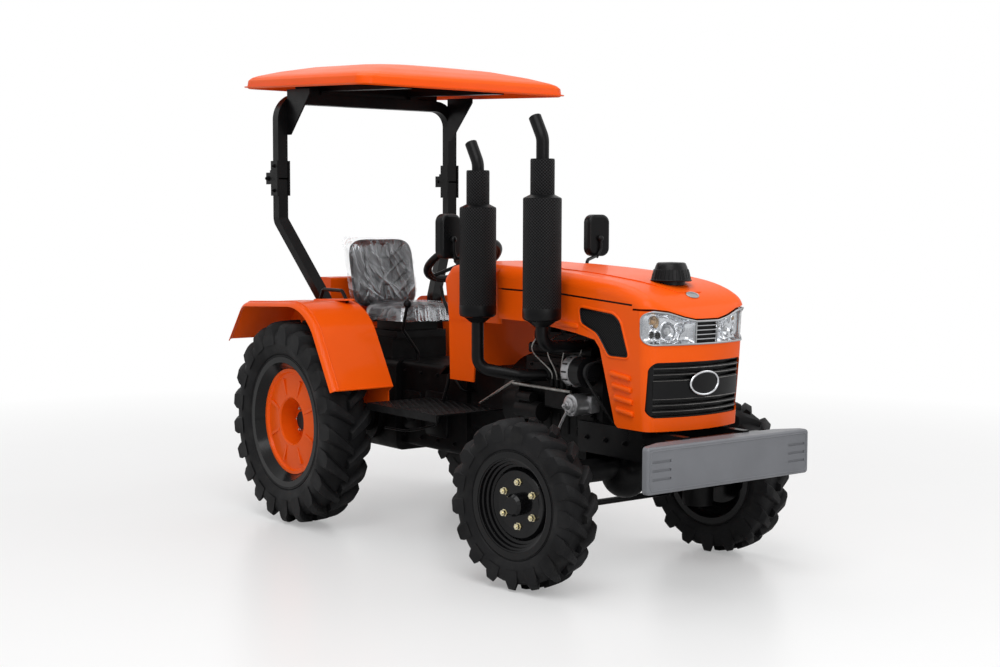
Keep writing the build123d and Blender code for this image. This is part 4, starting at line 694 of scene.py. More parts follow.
def lattice_holes(finish, pitch, hole):
    """Mask of round holes in staggered rows: the nearer of two square lattices, one half a pitch on."""
    distances = []
    for shift in (0.0, 0.5):
        sockets = {"Vector": finish.pattern(), "Scale": (1 / pitch,) * 3, "Location": (shift, shift, 0)}
        lattice = finish.add("Mapping", sockets).outputs["Vector"]
        sockets = {"Vector": lattice, "Scale": 1.0, "Randomness": 0.0}
        distances.append(finish.add("TexVoronoi", sockets, voronoi_dimensions="2D").outputs["Distance"])
    return finish.ramp(finish.maths("MINIMUM", *distances), hole + HOLE_EDGE, hole - HOLE_EDGE)


def perforated(name, pitch, hole):
    """Black sheet punched with round holes, laid out on the piece's own UV map in metres."""
    finish = Finish(name, (0.0085, 0.0085, 0.0095), 0.4, Specular_IOR_Level=0.2)
    mask = lattice_holes(finish, pitch, hole)
    finish.tint(mask, (0.0008, 0.0008, 0.0009))
    finish.feed(finish.shader.inputs["Roughness"], finish.ramp(mask, 0, 1, 0.42, 0.95))
    return finish.bump(finish.ramp(mask, 0, 1, 1, 0), 0.9, 0.0015).material


def seat_vinyl():
    """Dark grey vinyl with a pebbled skin, with painted shade that darkens its sewn channels."""
    finish = Finish("seat_vinyl", (0.040, 0.041, 0.045), 0.45, Specular_IOR_Level=0.3)
    finish.uneven(9, 0.7, 0.08)
    # Painted shade: the pad's channel mask darkens the vinyl in its sewn channels, where shade falls.
    sewn, _ = finish.pattern_parts()
    finish.tint(sewn, (0.004, 0.004, 0.005))
    return finish.grain(420, 0.35, 0.0006, 4).material


def clear_film():
    """Thin clear wrapping film: nearly see-through with a gloss, milky in a cloudy haze and along its loose
    edges;
    milkier along its folds, partly as creased film and partly as a painted highlight on the fold ridges.
    """
    finish = Finish("clear_film", (0.80, 0.82, 0.85), 0.16, 0.8)
    finish.grain(16, 0.6, 0.006, 3)
    folds, edges = finish.pattern_parts()
    # Painted highlight, partly real creasing: the film turns milkier along the ridges of its folds.
    fold = finish.ramp(folds, 0.1, 0.9, 0.0, 0.15)
    haze = finish.ramp(finish.noise(7, 3.0), 0.4, 0.75, 0.03, 0.16)
    milk_and_fold_highlight = finish.maths("ADD", finish.maths("ADD", fold, haze), finish.maths("MULTIPLY", edges, 0.25))
    finish.feed(finish.shader.inputs["Alpha"], milk_and_fold_highlight)
    return finish.material


FINISHES = {name: plain_finish(name, recipe) for name, recipe in RECIPES.items()}
FINISHES.update({name: perforated(name, *sizes) for name, sizes in PUNCHED.items()})
FINISHES.update({"seat_vinyl": seat_vinyl(), "clear_film": clear_film()})

NODE_FINISH = {
    "orange_paint": ("hood_lid hood_shell cowl fenders canopy rear_box mirror_bases "
                     "rear_disc_right rear_disc_left"),
    "cast_black": "engine gearbox rear_axle front_axle knuckle_right knuckle_left radiator platforms",
    "gloss_black": "rear_rim_right rear_rim_left front_wheel_right front_wheel_left",
    "black_paint": ("rear_hub_right rear_hub_left tie_rod front_support steering_column seat_base "
                    "grab_handles lower_posts upper_hoop controls exhaust_stacks "
                    "lower_links lift_arms lift_rods drawbar"),
    "black_plastic": "lamp_louvre grille side_vents pre_cleaner steering_wheel mirrors alternator",
    "tyre_rubber": "rear_tyre_right rear_tyre_left front_tyre_right front_tyre_left",
    "cast_metal": "oil_filter",
    "dull_steel": "pto_shaft",
    "grey_paint": "front_weight",
    "lamp_glass": "headlamps",
    "seat_vinyl": "seat_cushion seat_back",
}


def dress_nodes():
    """Gives each CAD node its finish."""
    for finish, names in NODE_FINISH.items():
        for name in names.split():
            materials = NODES[name].data.materials
            for index in range(len(materials)):
                materials[index] = FINISHES[finish]
            if not materials:
                materials.append(FINISHES[finish])


# Wheels

def side_of(name):
    """1 for a wheel on the left, -1 for one on the right."""
    return 1 if name.endswith("left") else -1


def on_wheel(name, shape):
    """A shape made at the origin with its axis on y, moved to a wheel's joint and turned to its axis."""
    joint = JOINTS["spin_" + name]
    axis = np.array(joint["axis"], float)
    forward = np.cross(axis, [0, 0, 1.0])
    points, faces = shape
    return points @ np.stack([forward, axis, [0, 0, 1.0]]) + from_axle(joint["pos_m"]), faces


def carcass(radius, width, bead, lug):
    """Tyre body: a rounded section turned round y; its sides bulge and its crown is nearly flat."""
    knots = np.array(TYRE_SECTION)
    knots[:, 0] = bead + knots[:, 0] * (radius - lug - bead)
    knots[0, 0] += BEAD_LIFT
    knots[:, 1] *= width
    half = smooth_line(knots, 34)
    return spun(np.concatenate([half, half[::-1] * np.array([1, -1])]), 120)


def lugs(radius, width, lug, count, bar):
    """Slanted bars: each follows a line that leads at the tread's middle and trails at the shoulder, where
    it bends down; its section has sloped flanks, and it widens outward. The right half's bars stand half a
    step on."""
    steps = np.linspace(0, 1, 15)
    out = (LUG_START + LUG_RUN * steps) * width
    lean = LUG_RUN * width * math.tan(LUG_SLANT) / 2
    bend = np.clip((steps - LUG_BEND_AT) / (1 - LUG_BEND_AT), 0, 1) ** 2
    top = radius - LUG_TOP_DROP * radius * steps ** 2 - LUG_TOP_BEND * lug * bend
    foot = radius - LUG_FOOT * lug - LUG_FOOT_BEND * lug * bend
    wide = bar * (LUG_WIDE + LUG_WIDEN * steps)
    flank = np.array(LUG_FLANK)
    across = np.concatenate([-flank[::-1, 0], flank[:, 0]])
    sunk = lug * np.concatenate([flank[::-1, 1], flank[:, 1]])
    r = top[:, None] - sunk
    r[:, [0, -1]] = foot[:, None]
    angle = (lean * (1 - 2 * steps)[:, None] + across * wide[:, None]) / radius
    phase = math.pi - math.asin((lean + bar / 2) / radius)
    shapes = []
    for side, shift in ((1, 0), (-1, 0.5)):
        starts = phase + 2 * np.pi * (np.arange(count) + shift) / count
        theta = starts[:, None, None] + angle
        bars = points_of(r * np.sin(theta), side * out[:, None], r * np.cos(theta))
        shapes += [capped(one) for one in bars]
    return join(shapes)


def tyre(name, node, radius, width, bead, lug, count, bar):
    """Lugged tyre in place of the CAD one."""
    shape = join([carcass(radius, width, bead, lug), lugs(radius, width, lug, count, bar)])
    shape = on_wheel(name, shape)
    thing = piece("lugged_tyre_" + name, shape, "tyre_rubber", "wheel_" + name, smooth=38)
    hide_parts(node)


def hex_nut(radius, height):
    """Six-sided nut on a washer, with a stud: a lathe of six sides and a smaller round end."""
    washer, stud_r = 1.25 * radius, 0.52 * radius
    line = [(washer, 0), (washer, 1.6), (radius, 1.8), (radius, height), (radius * 0.6, height + 0.4)]
    stud = [(stud_r, height - 1), (stud_r, height + 6), (radius * 0.4, height + 7)]
    return join([lathe(line, 6), lathe(stud, 12)])


def nut_ring(name, label, circle, offset, count, radius, finish):
    """Ring of nuts on a wheel's outer face."""
    side = side_of(name)
    nut = hex_nut(radius, radius * 1.1)
    spots = points_of(circle * np.sin(around(count)), side * offset, circle * np.cos(around(count)))
    ring = join([aimed(nut, spot, (0, side, 0)) for spot in spots])
    piece(label + "_" + name, on_wheel(name, ring), finish, "wheel_" + name, smooth=25)


def rim_steps(name):
    """Stepped ring pressed between a front rim and its disc: a zigzag line turned round the wheel's axis."""
    line = np.array(RIM_STEPS, float)
    section = np.concatenate([line, line[::-1] - np.array([0, RIM_SHEET])]) * np.array([1, side_of(name)])
    ring = on_wheel(name, spun(section, 96))
    piece("rim_steps_" + name, ring, "gloss_black", "wheel_" + name, smooth=30)


def wheels():
    """Tyres and nuts of the four wheels, and the front rims' steps."""
    for side in ("right", "left"):
        for end, sizes in TYRES.items():
            tyre(end + "_" + side, end + "_tyre_" + side, **sizes)
        rim_steps("front_" + side)
        for end, sizes in NUT_RINGS.items():
            nut_ring(end + "_" + side, *sizes)


# Exhaust stacks

def sleeve(name, x, low, high, radius):
    """Punched sheet bent round a stack: a cylinder with rolled edges, its UV in metres round and along."""
    turn = np.linspace(0, 2 * np.pi, 97)
    edge = np.array(ROLLED_EDGE)
    z = np.concatenate([low + edge[:, 0], high - edge[::-1, 0]])[:, None]
    r = radius + np.concatenate([edge[:, 1], edge[::-1, 1]])[:, None]
    points = points_of(x + r * np.cos(turn), STACK_Y + r * np.sin(turn), z)
    uv = np.stack(np.broadcast_arrays(turn * radius / 1000, z / 1000), -1)
    piece(name, (points, quads(*points.shape[:2])), "guard_mesh", uv=uv)


def stacks():
    """Punched guards round both stacks and their upper sleeves, cups under them and bands between."""
    for name, (x, low, high) in STACKS.items():
        sleeve("stack_guard_" + name, x, low + STACK_GUARD_GAP[0], high - STACK_GUARD_GAP[1], STACK_R)
        tip = high + SLEEVE_H
        sleeve("stack_sleeve_" + name, x, high + SLEEVE_GAP[0], tip - SLEEVE_GAP[1], SLEEVE_R)
        cup = moved(lathe(STACK_CUP, 64), (x, STACK_Y, low))
        band = moved(lathe(np.array(SLEEVE_BAND) + np.array([SLEEVE_R, 0]), 48), (x, STACK_Y, high))
        piece("stack_cup_" + name, join([cup, band]), "black_paint")


# Hood

def on_hood(run, z, lift=0.0):
    """Points on the hood's skin. run is the distance round its plan from the middle of the nose, negative on
    the right: an arc, then a corner arc, then a straight side. The skin leans out with height, and lift
    moves a point out of it."""
    run, z, lift = np.broadcast_arrays(*(np.asarray(value, float) for value in (run, z, lift)))
    side, far = np.where(run < 0, -1, 1), np.abs(run)
    turn = np.clip(far, 0, NOSE_RUN) / NOSE_R + np.clip(far - NOSE_RUN, 0, CORNER_RUN) / CORNER_R
    straight = np.clip(far - NOSE_RUN - CORNER_RUN, 0, None)
    on_arc = far < NOSE_RUN
    radius = np.where(on_arc, NOSE_R, CORNER_R) + (z - HOOD_BASE_Z) * HOOD_RISE + lift
    x = np.where(on_arc, NOSE_MID_X, CORNER_X) + radius * np.cos(turn) - straight
    y = np.where(on_arc, 0, CORNER_Y) + radius * np.sin(turn)
    return np.stack([x, side * y, z], -1)


def hood_sheet(run, z, lift, depth):
    """Thin sheet along the hood's skin over all the given runs and heights."""
    run, z = np.meshgrid(run, z)
    return shell(on_hood(run, z, lift), depth)


def brow_z(run):
    """Height of the lid's front edge over the lamps."""
    y = np.abs(on_hood(run, LAMP_LOW_Z)[..., 1])
    return np.interp(y, BROW_Y, BROW_Z)


def lamp_patch(u, v, lift):
    """Points of the right lamp: u runs outward across it, v from its lower edge up to the brow."""
    run = LAMP_RUN[0] + u * LAMP_WIDE
    low, high = LAMP_LOW_Z + LENS_GAP[0], brow_z(run) - LENS_GAP[1]
    return on_hood(-run, low + v * (high - low), lift)


def lamp_grid(rows, cols):
    """Even shares u and v across and up a lamp."""
    v, u = np.meshgrid(np.linspace(0, 1, rows), np.linspace(0, 1, cols), indexing="ij")
    return u, v


def reflector_depth(u, v):
    """Depth of the bright pan behind a lens: flat floor with steep walls, round bowls pressed into it, each
    with a raised rim, and a step between the bowls and the inner end."""
    pan = -PAN_EDGE - PAN_DEPTH * (1 - (2 * u - 1) ** 8) * (1 - (2 * v - 1) ** 6)
    for bowl_u, bowl_v, radius in LAMP_BOWLS:
        far = np.hypot((u - bowl_u) * LAMP_WIDE, (v - bowl_v) * LAMP_TALL)
        pan = pan - BOWL_DEPTH * np.clip(1 - (far / radius) ** 2, 0, None)
        pan = pan + BOWL_RIM_H * np.exp(-((far - radius) / BOWL_RIM_W) ** 2)
    return pan + PAN_STEP_H * np.exp(-((u - 0.2 - 0.16 * (1 - v)) * LAMP_WIDE / PAN_STEP_W) ** 2)


def bulb(bowl_u, bowl_v, radius):
    """Domed bulb in a bowl: a lathe shape along the line out of the lamp."""
    spot = lamp_patch(bowl_u, bowl_v, -BULB_DEPTH)
    out = lamp_patch(bowl_u, bowl_v, 0) - spot
    dome = np.array(BULB_LINE) * np.array([BULB_SHARE * radius, 1])
    return lathe_at(dome, 20, spot, out)


def headlamps():
    """Lenses, bright reflectors, bulbs, and the trim round the lamp band."""
    u, v = lamp_grid(15, 41)
    lens = mirrored(shell(lamp_patch(u, v, -LENS_SHEET), LENS_SHEET))
    lens = piece("lamp_lenses", lens, "lamp_glass")
    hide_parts("headlamps")
    u, v = lamp_grid(60, 121)
    pan = shell(lamp_patch(u, v, reflector_depth(u, v)), 2)
    piece("lamp_reflectors", mirrored(pan), "chrome")
    for name, (finish, bowls) in BULBS.items():
        bulbs = join([bulb(*LAMP_BOWLS[i]) for i in bowls])
        piece(name, mirrored(bulbs), finish)
    lamp_rim()
    louvre_bars()
    lamp_corners()


def lamp_band():
    """Lower and upper edge of the lamp band at its outer ends."""
    return LAMP_LOW_Z + LAMP_RIM_GAP[0], float(brow_z(LAMP_RUN[1])) - LAMP_RIM_GAP[1]


def lamp_outline():
    """Rounded edge of the lamp band as (distance round the nose, height), under the brow and over the
    shell."""
    low, high = lamp_band()
    middle = LAMP_RUN[1] - LAMP_CORNER
    run = np.linspace(-middle, middle, 61)
    turn = np.linspace(np.pi / 2, -np.pi / 2, 17)
    level = np.where(turn > 0, high - LAMP_CORNER, low + LAMP_CORNER)
    end = np.stack([middle + LAMP_CORNER * np.cos(turn), level + LAMP_CORNER * np.sin(turn)], -1)
    top = np.stack([run, brow_z(run) - LAMP_RIM_GAP[1]], -1)
    bottom = np.stack([run[::-1], 0 * run + low], -1)
    return np.concatenate([top, end, bottom, end[::-1] * np.array([-1, 1])])


def lamp_rim():
    """Silver bead round both lamps and the louvre, and thin posts beside the louvre."""
    path = lamp_outline()
    parts = [loop_tube(on_hood(path[:, 0], path[:, 1], 1.0), LAMP_BEAD_R)]
    z = np.linspace(LAMP_LOW_Z + 2, float(brow_z(LAMP_RUN[0])) - 2, 8)
    parts += [tube(on_hood(side * (LAMP_RUN[0] - 1), z, -1), LAMP_POST_R, 8) for side in SIDES]
    piece("lamp_rim", join(parts), "satin_silver")


def louvre_bars():
    """Bright bars across the louvre between the lamps."""
    run = np.linspace(-LOUVRE_RUN, LOUVRE_RUN, 25)
    rise = np.array([-LOUVRE_BAR_HALF, LOUVRE_BAR_HALF])
    levels = LAMP_LOW_Z + np.linspace(*LOUVRE_BAR_Z, LOUVRE_BARS)
    piece("louvre_bars", join([hood_sheet(run, z + rise, -4, 3) for z in levels]), "chrome")


def lamp_corners():
    """Painted fillets in the four outer corners: each fans from the rounded edge to the two sides."""
    low, high = lamp_band()
    turn = np.linspace(0, np.pi / 2, 9)
    share = np.linspace(0, 1, 5)[:, None, None]
    arc = LAMP_CORNER * np.stack([np.cos(turn), np.sin(turn)], -1)
    reach_run, reach_z = LAMP_CORNER + 3, LAMP_CORNER + 2
    outer = np.stack([np.where(turn < np.pi / 4, reach_run, reach_run / np.tan(np.maximum(turn, 0.1))),
                      np.where(turn > np.pi / 4, reach_z, reach_z * np.tan(turn))], -1)
    flat = arc + share * (outer - arc)
    run = LAMP_RUN[1] - LAMP_CORNER + flat[..., 0]
    parts = []
    for rise, level in ((1, high - LAMP_CORNER), (-1, low + LAMP_CORNER)):
        parts.append(shell(on_hood(-run, level + rise * flat[..., 1], 0.4), 4))
    piece("lamp_corners", mirrored(join(parts)), "orange_paint")


def grille_trim():
    """Thin bright edges on the grille's upper and lower bars, a plain band between them, and a dark screen
    behind all bars."""
    low, high = GRILLE_Z
    step = (high - low) / GRILLE_BARS
    run = np.linspace(-GRILLE_RUN + GRILLE_EDGE_IN, GRILLE_RUN - GRILLE_EDGE_IN, 61)
    lines = [tube(on_hood(run, low + step * i, -5.0), GRILLE_EDGE_R, 6) for i in GRILLE_BRIGHT]
    piece("grille_edges", join(lines), "dark_chrome")
    levels = low + step * np.linspace(*GRILLE_BAND, 9)
    piece("grille_band", hood_sheet(run, levels, -7, 3), "black_plastic")
    run = np.linspace(-GRILLE_RUN + GRILLE_SCREEN_IN, GRILLE_RUN - GRILLE_SCREEN_IN, 61)
    levels = np.linspace(low + GRILLE_SCREEN_IN, high - GRILLE_SCREEN_IN, 9)
    screen = hood_sheet(run, levels, -GRILLE_SCREEN_DEPTH, 2)
    piece("grille_screen", screen, "hose_rubber")
    grille_oval()
    nose_oval()


def grille_oval():
    """Blank oval on the grille's band: a bright ring round a domed black face of shrinking ovals."""
    middle, half_y, half_z = GRILLE_RING
    turn = around(64)
    ring = on_hood(half_y * np.cos(turn), middle + half_z * np.sin(turn), 2)
    piece("grille_ring", loop_tube(ring, 5.0), "chrome")
    share = np.array([1.0, 0.98, 0.75, 0.5, 0.25, 0.03])[:, None]
    front = on_hood(half_y * share * np.cos(turn), middle + half_z * share * np.sin(turn), 1.0)
    back = front[:1] - np.array([10, 0, 0])
    piece("grille_badge", capped(np.concatenate([back, front])), "gloss_black")


def nose_oval():
    """Blank silver oval with a raised edge, flat on the lid's nose."""
    place, out = on_node("hood_lid", OVAL_AT)
    across = np.array([0, 1.0, 0])
    up = np.cross(out, across)
    turn = around(64)
    flat = np.stack([np.cos(turn), np.sin(turn)], -1) * np.array(OVAL_SIZE)
    edge = loop_tube(place + flat[:, :1] * across + flat[:, 1:] * up + 2 * out, 2.6)
    face = plate(flat * 0.97, 6, 1, place - 4 * out, across, up)
    piece("nose_oval", join([edge, face]), "satin_silver", "hood")


def on_side(side, outline, lift):
    """Outline of (x, z) points laid on the hood's side."""
    x, z = np.asarray(outline, float).T
    return points_of(x, side * (CORNER_Y + CORNER_R + (z - HOOD_BASE_Z) * HOOD_RISE + lift), z)


def vents():
    """Fine mesh in each side vent, the black edge round it and the raised painted rim outside that."""
    outline = rounded(VENT_EDGE, 16)
    wider = inset(outline[::-1], -9)
    panels = [capped(np.array([on_side(side, outline, lift) for lift in (-4, -8)])) for side in SIDES]
    uv = np.tile(outline / 1000, (4, 1))
    mesh = piece("vent_mesh", join(panels), "vent_mesh", uv=uv)
    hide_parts("side_vents")
    edges = [loop_tube(on_side(side, outline, 0), 3.4) for side in SIDES]
    piece("vent_edges", join(edges), "gloss_black")
    rims = [loop_tube(on_side(side, wider, -2.5), 6.5) for side in SIDES]
    piece("vent_rims", join(rims), "orange_paint")


def side_bar(side, line, lift, spare, half_w, corner, depth, bevel):
    """Rounded bar along a line of two (x, z) points on the hood's side, with spare length at each end."""
    ends = on_side(side, line, lift)
    along = ends[1] - ends[0]
    length = np.linalg.norm(along)
    up = (0, side * math.sin(HOOD_LEAN), math.cos(HOOD_LEAN))
    outline = round_rect(length / 2 + spare, half_w, corner)
    return plate(outline, depth, bevel, ends.mean(0), -side * along / length, up)


def side_pressings():
    """A ridge on each hood side, and rounded lips on the louvres, spaced evenly from the top one to the
    lowest."""
    ridges = [side_bar(side, RIDGE, -1, 14, 12, 11, 8, 5) for side in SIDES]
    piece("side_ridges", join(ridges), "orange_paint")
    top, low = np.array(LOUVRE_TOP), np.array(LOUVRE_LOW)
    lips = []
    for side in SIDES:
        for share in np.linspace(0, 1, LOUVRES):
            line = top * (1 - share) + low * share - np.array([0, LOUVRE_DROP])
            lips.append(side_bar(side, line, 0, 0, 11, 10, 13, 9))
    piece("louvre_lips", join(lips), "orange_paint")


def hood_gap_shade():
    """Dark strip inside the gap under the lid, painted shade in place of the dark inside of the hood: a
    narrow band that follows the seam on both sides.
    """
    seam_x, seam_z = zip(*HOOD_SEAM)
    x = np.linspace(seam_x[0] + 12, seam_x[-1] + 10, 60)
    z = np.interp(x, seam_x, seam_z) + np.array(GAP_SHADE_RISE, float)[:, None]
    y = CORNER_Y + CORNER_R + (z - HOOD_BASE_Z) * HOOD_RISE - GAP_SHADE_DEPTH
    strips = [shell(points_of(x, side * y, z), 2) for side in SIDES]
    piece("hood_gap_shade", join(strips), "hose_rubber")


def intake_cap():
    """Upright ribs round the intake cap's cone, a rolled brim at its foot and a low dome."""
    low, high = node_box("pre_cleaner")
    top = np.array([(low[0] + high[0]) / 2, 0, high[2]])
    line = np.array(INTAKE_RIB) + np.array([INTAKE_R, 0])
    parts = []
    for turn in around(INTAKE_RIBS):
        path = points_of(line[:, 0] * math.cos(turn), line[:, 0] * math.sin(turn), line[:, 1])
        parts.append(tube(top + path, (2.6, 2.6, 2.4, 1.2), 6))
    turn = around(72)
    brim = points_of(INTAKE_R * np.cos(turn), INTAKE_R * np.sin(turn), INTAKE_BRIM)
    parts.append(loop_tube(top + brim, 4.0))
    dome = [(INTAKE_R + step, height) for step, height in INTAKE_DOME] + [(2, 22)]
    parts.append(moved(lathe(dome, 72), top))
    piece("intake_ribs", join(parts), "black_plastic", "hood")


# Canopy

def canopy_ring(inset_by, corner, height, grow):
    """Rounded rectangle of the canopy at one level, tilted with its rim."""
    half_x, half_y = CANOPY_HALF_X - inset_by + grow, CANOPY_HALF_Y - inset_by + grow
    flat = round_rect(half_x, half_y, corner, 10)
    sine, cosine = math.sin(CANOPY_SLOPE), math.cos(CANOPY_SLOPE)
    x = CANOPY_MID_X + flat[:, 0] * cosine + height * sine
    z = CANOPY_RIM_Z + CANOPY_HALF_X * math.tan(CANOPY_SLOPE) - flat[:, 0] * sine + height * cosine
    return np.stack([x, flat[:, 1], z], -1)


def canopy():
    """Domed sheet: rings of a rounded rectangle that draw in as they rise, outside and again one sheet lower
    inside. A flat lip runs round its rim, and a black bearer lies between it and the hoop: partly a mount,
    and partly painted shade under the canopy's edge."""
    known = np.array(CANOPY_LEVELS)
    share = np.linspace(0, 1, 40)
    by, corner = (np.interp(share, known[:, 0], known[:, k]) for k in (1, 2))
    levels = np.concatenate([np.stack([share, by, corner], -1), CANOPY_CROWN])
    rings = []
    for share, by, corner in levels[::-1]:
        rings.append(canopy_ring(by, corner, share * CANOPY_DOME - CANOPY_SHEET, -CANOPY_SHEET))
    for share, by, corner in levels:
        rings.append(canopy_ring(by, corner, share * CANOPY_DOME, 0))
    skin = piece("canopy_skin", capped(np.array(rings)), "orange_paint", "fold_frame")
    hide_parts("canopy")
    section = ((LIP_LAP, 0), (-CANOPY_LIP, 0), (-CANOPY_LIP, LIP_H), (LIP_LAP, LIP_H))
    lip = np.array([canopy_ring(by, CANOPY_LEVELS[0][2] - by, height, 0) for by, height in section])
    piece("canopy_lip", closed(lip), "orange_paint", "fold_frame")
    # Black bearer: partly a mount, partly painted shade under the canopy's edge
    place = (POST_X, 0, HOOP_TOP_Z + BEARER_LIFT)
    bearer = plate(round_rect(*BEARER_HALF, 8), 8, 2, place, (0, 1, 0), (0, 0, 1))
    piece("canopy_bearer_and_shade", bearer, "black_paint", "fold_frame")


# Seat

def pad_height(share, thick):
    """Crowned face of a pad: nearly flat in the middle, falling to the edge."""
    return thick * (1 - np.clip(share, 0, 1) ** 5) ** 0.45


def channels(a, b, half_b):
    """Depth mask of the sewn channels: stacked Vs beside a middle strip, and a line inside each bolster."""
    far = np.abs(a)
    v = (b - 0.75 * np.clip(far - STRIP_A, 0, None) + CHANNEL_STEP / 2) % CHANNEL_STEP - CHANNEL_STEP / 2
    chevron = np.exp(-(v / 5) ** 2) * (far < CHEVRON_A)
    strip = 0.8 * np.exp(-((far - STRIP_A) / 4.5) ** 2) * (np.abs(b) < 0.86 * half_b)
    bolster = np.exp(-((far - BOLSTER_A + 0.04 * b) / 6) ** 2)
    return np.clip(chevron + strip + bolster, 0, 1)


def pad(half_a, half_b, thick):
    """Closed cushion: a superellipse plan whose sides draw in between the corners, a crowned face with sewn
    channels and a seam near its edge, and a plain back. Rings go out over the face and back in behind it."""
    turn = around(220)
    plan = np.abs(np.cos(turn) / half_a) ** PLAN_POWER + np.abs(np.sin(turn) / half_b) ** PLAN_POWER
    edge = plan ** (-1 / PLAN_POWER) * (1 - 0.012 * np.cos(2 * turn) ** 2)
    share = np.concatenate([np.linspace(0.01, 0.9, 64), np.linspace(0.91, 1, 12)])[:, None]
    back_share = np.linspace(0.99, 0.01, 16)[:, None]
    rings = np.concatenate([share, back_share])
    a, b = edge * np.cos(turn) * rings, edge * np.sin(turn) * rings
    sewn = CHANNEL_DEPTH * channels(a[:len(share)], b[:len(share)], half_b) * (share < 0.93)
    seam = SEAM_DEPTH * np.exp(-((share - 0.955) / 0.012) ** 2)
    face = pad_height(share, thick / 2) - sewn - seam
    back = -pad_height(back_share, thick / 2) + 0 * turn
    return capped(np.stack([a, b, np.concatenate([face, back])], -1))


def film_folds(a, b):
    """Height of soft folds: the ridges of waves that run mostly up the pad, bend a little and die away."""
    chance = np.random.default_rng(11)
    folds = 0 * a
    for _ in range(FILM_FOLDS):
        turn = chance.uniform(-0.8, 0.8)
        wave = chance.uniform(60, 170)
        start = chance.uniform(0, 2 * np.pi)
        along = a * math.cos(turn) + b * math.sin(turn)
        drift = 22 * np.sin(0.018 * (b * math.cos(turn) - a * math.sin(turn)) + start)
        stretch = np.clip(np.sin(0.015 * b * math.cos(turn) + 3 * start), 0, 1) ** 1.5
        ridge = (1 - np.abs(np.sin(np.pi * (along + drift) / wave + start))) ** 4
        folds = np.maximum(folds, stretch * ridge)
    return folds


def film(half_a, half_b, thick, ear, fall):
    """Loose sheet over a pad, a little larger than it: the pad's crown, a small gap, soft folds, a fall round
    the edge and one corner pulled out. Returns its points and a pattern map of folds and loose edges."""
    reach = np.linspace(-FILM_GROW, FILM_GROW, 110)
    b, a = np.meshgrid(reach * half_b, reach * half_a, indexing="ij")
    share = (np.abs(a / half_a) ** PLAN_POWER + np.abs(b / half_b) ** PLAN_POWER) ** (1 / PLAN_POWER)
    near = np.exp(-((a + half_a) ** 2 + (b - half_b) ** 2) / EAR_REACH ** 2) * (ear > 0)
    a, b = (c * np.minimum(1, (FILM_GROW + 0.1 * near) / share) for c in (a, b))
    fallen = np.minimum(share, FILM_GROW) - 0.985
    base = np.where(fallen < 0, pad_height(share, thick / 2), 6 - fall * fallen)
    folds = film_folds(a, b)
    height = base + FILM_GAP + FOLD_H * folds + 0.2 * ear * near
    loose = np.maximum(near, np.clip((share - 0.98) / 0.05, 0, 0.5))
    return np.stack([a - ear * near, b + 0.35 * ear * near, height], -1), np.stack([folds, loose], -1)


def seat_places():
    """Middle, upward and outward direction, half length, thickness, pulled corner and film's fall of each
    seat pad."""
    sine, cosine = math.sin(SEAT_BACK_TILT), math.cos(SEAT_BACK_TILT)
    up, out = np.array([-sine, 0, cosine]), np.array([cosine, 0, sine])
    middle = np.array(SEAT_BACK_FOOT) + SEAT_BACK_H / 2 * up - SEAT_BACK_DEPTH / 2 * out
    low, high = node_box("seat_cushion")
    long, _, thick = high - low
    return {
        "back": (middle, up, out, SEAT_BACK_H / 2, SEAT_BACK_DEPTH, FILM_EAR, BACK_FALL),
        "cushion": ((low + high) / 2, (-1, 0, 0), (0, 0, 1), long / 2, thick, 0, CUSHION_FALL),
    }


def seat():
    """Seat pads with sewn channels, each under a loose clear film. Both are made flat, as points (a, b, c)
    across, along and out of the pad, and then laid in place."""
    for name, (origin, along, out, half_b, thick, ear, fall) in seat_places().items():
        half_a, half_b = SEAT_HALF_W, half_b - SEAT_GAP
        lay = np.array([(0, 1, 0), along, out], float)
        points, faces = pad(half_a, half_b, thick)
        # The channel mask goes into the pad's pattern map, where the vinyl paints shade into the channels.
        sewn = channels(points[:, 0], points[:, 1], half_b) * (points[:, 2] > 4)
        cushion = piece("seat_%s_pad" % name, (points @ lay + origin, faces), "seat_vinyl",
                        uv=np.stack([sewn, sewn], -1), smooth=60)
        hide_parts("seat_" + name)
        points, pattern = film(half_a, half_b, thick, ear, fall)
        faces = quads(*points.shape[:2])
        sheet = piece("seat_%s_film" % name, (points @ lay + origin, faces), "clear_film",
                      uv=pattern, smooth=80)


# Driver's place

def dial(spot, radius, out, across, up):
    """One dial: its rim, its face, and the marks round the face with a needle."""
    line = [(radius - 3, 0), (radius + 1, 0), (radius + 1, 5), (radius - 1, 6), (radius - 3, 4)]
    rim = lathe_at(line, 40, spot, out)
    face = lathe_at([(radius - 2, -0.5), (radius - 2, 4.4), (2, 4.6)], 40, spot, out)
    marks = []
    for turn in np.linspace(-DIAL_SWEEP, DIAL_SWEEP, DIAL_MARKS):
        ray = math.sin(turn) * across + math.cos(turn) * up
        marks.append(tube(spot + 4.8 * out + np.outer((radius - 9, radius - 5), ray), 0.9, 6))
    ray = math.sin(NEEDLE_TURN) * across + math.cos(NEEDLE_TURN) * up
    marks.append(tube(spot + 5.2 * out + np.outer((-4, radius - 10), ray), (1.6, 0.6), 8))
    return rim, face, join(marks)


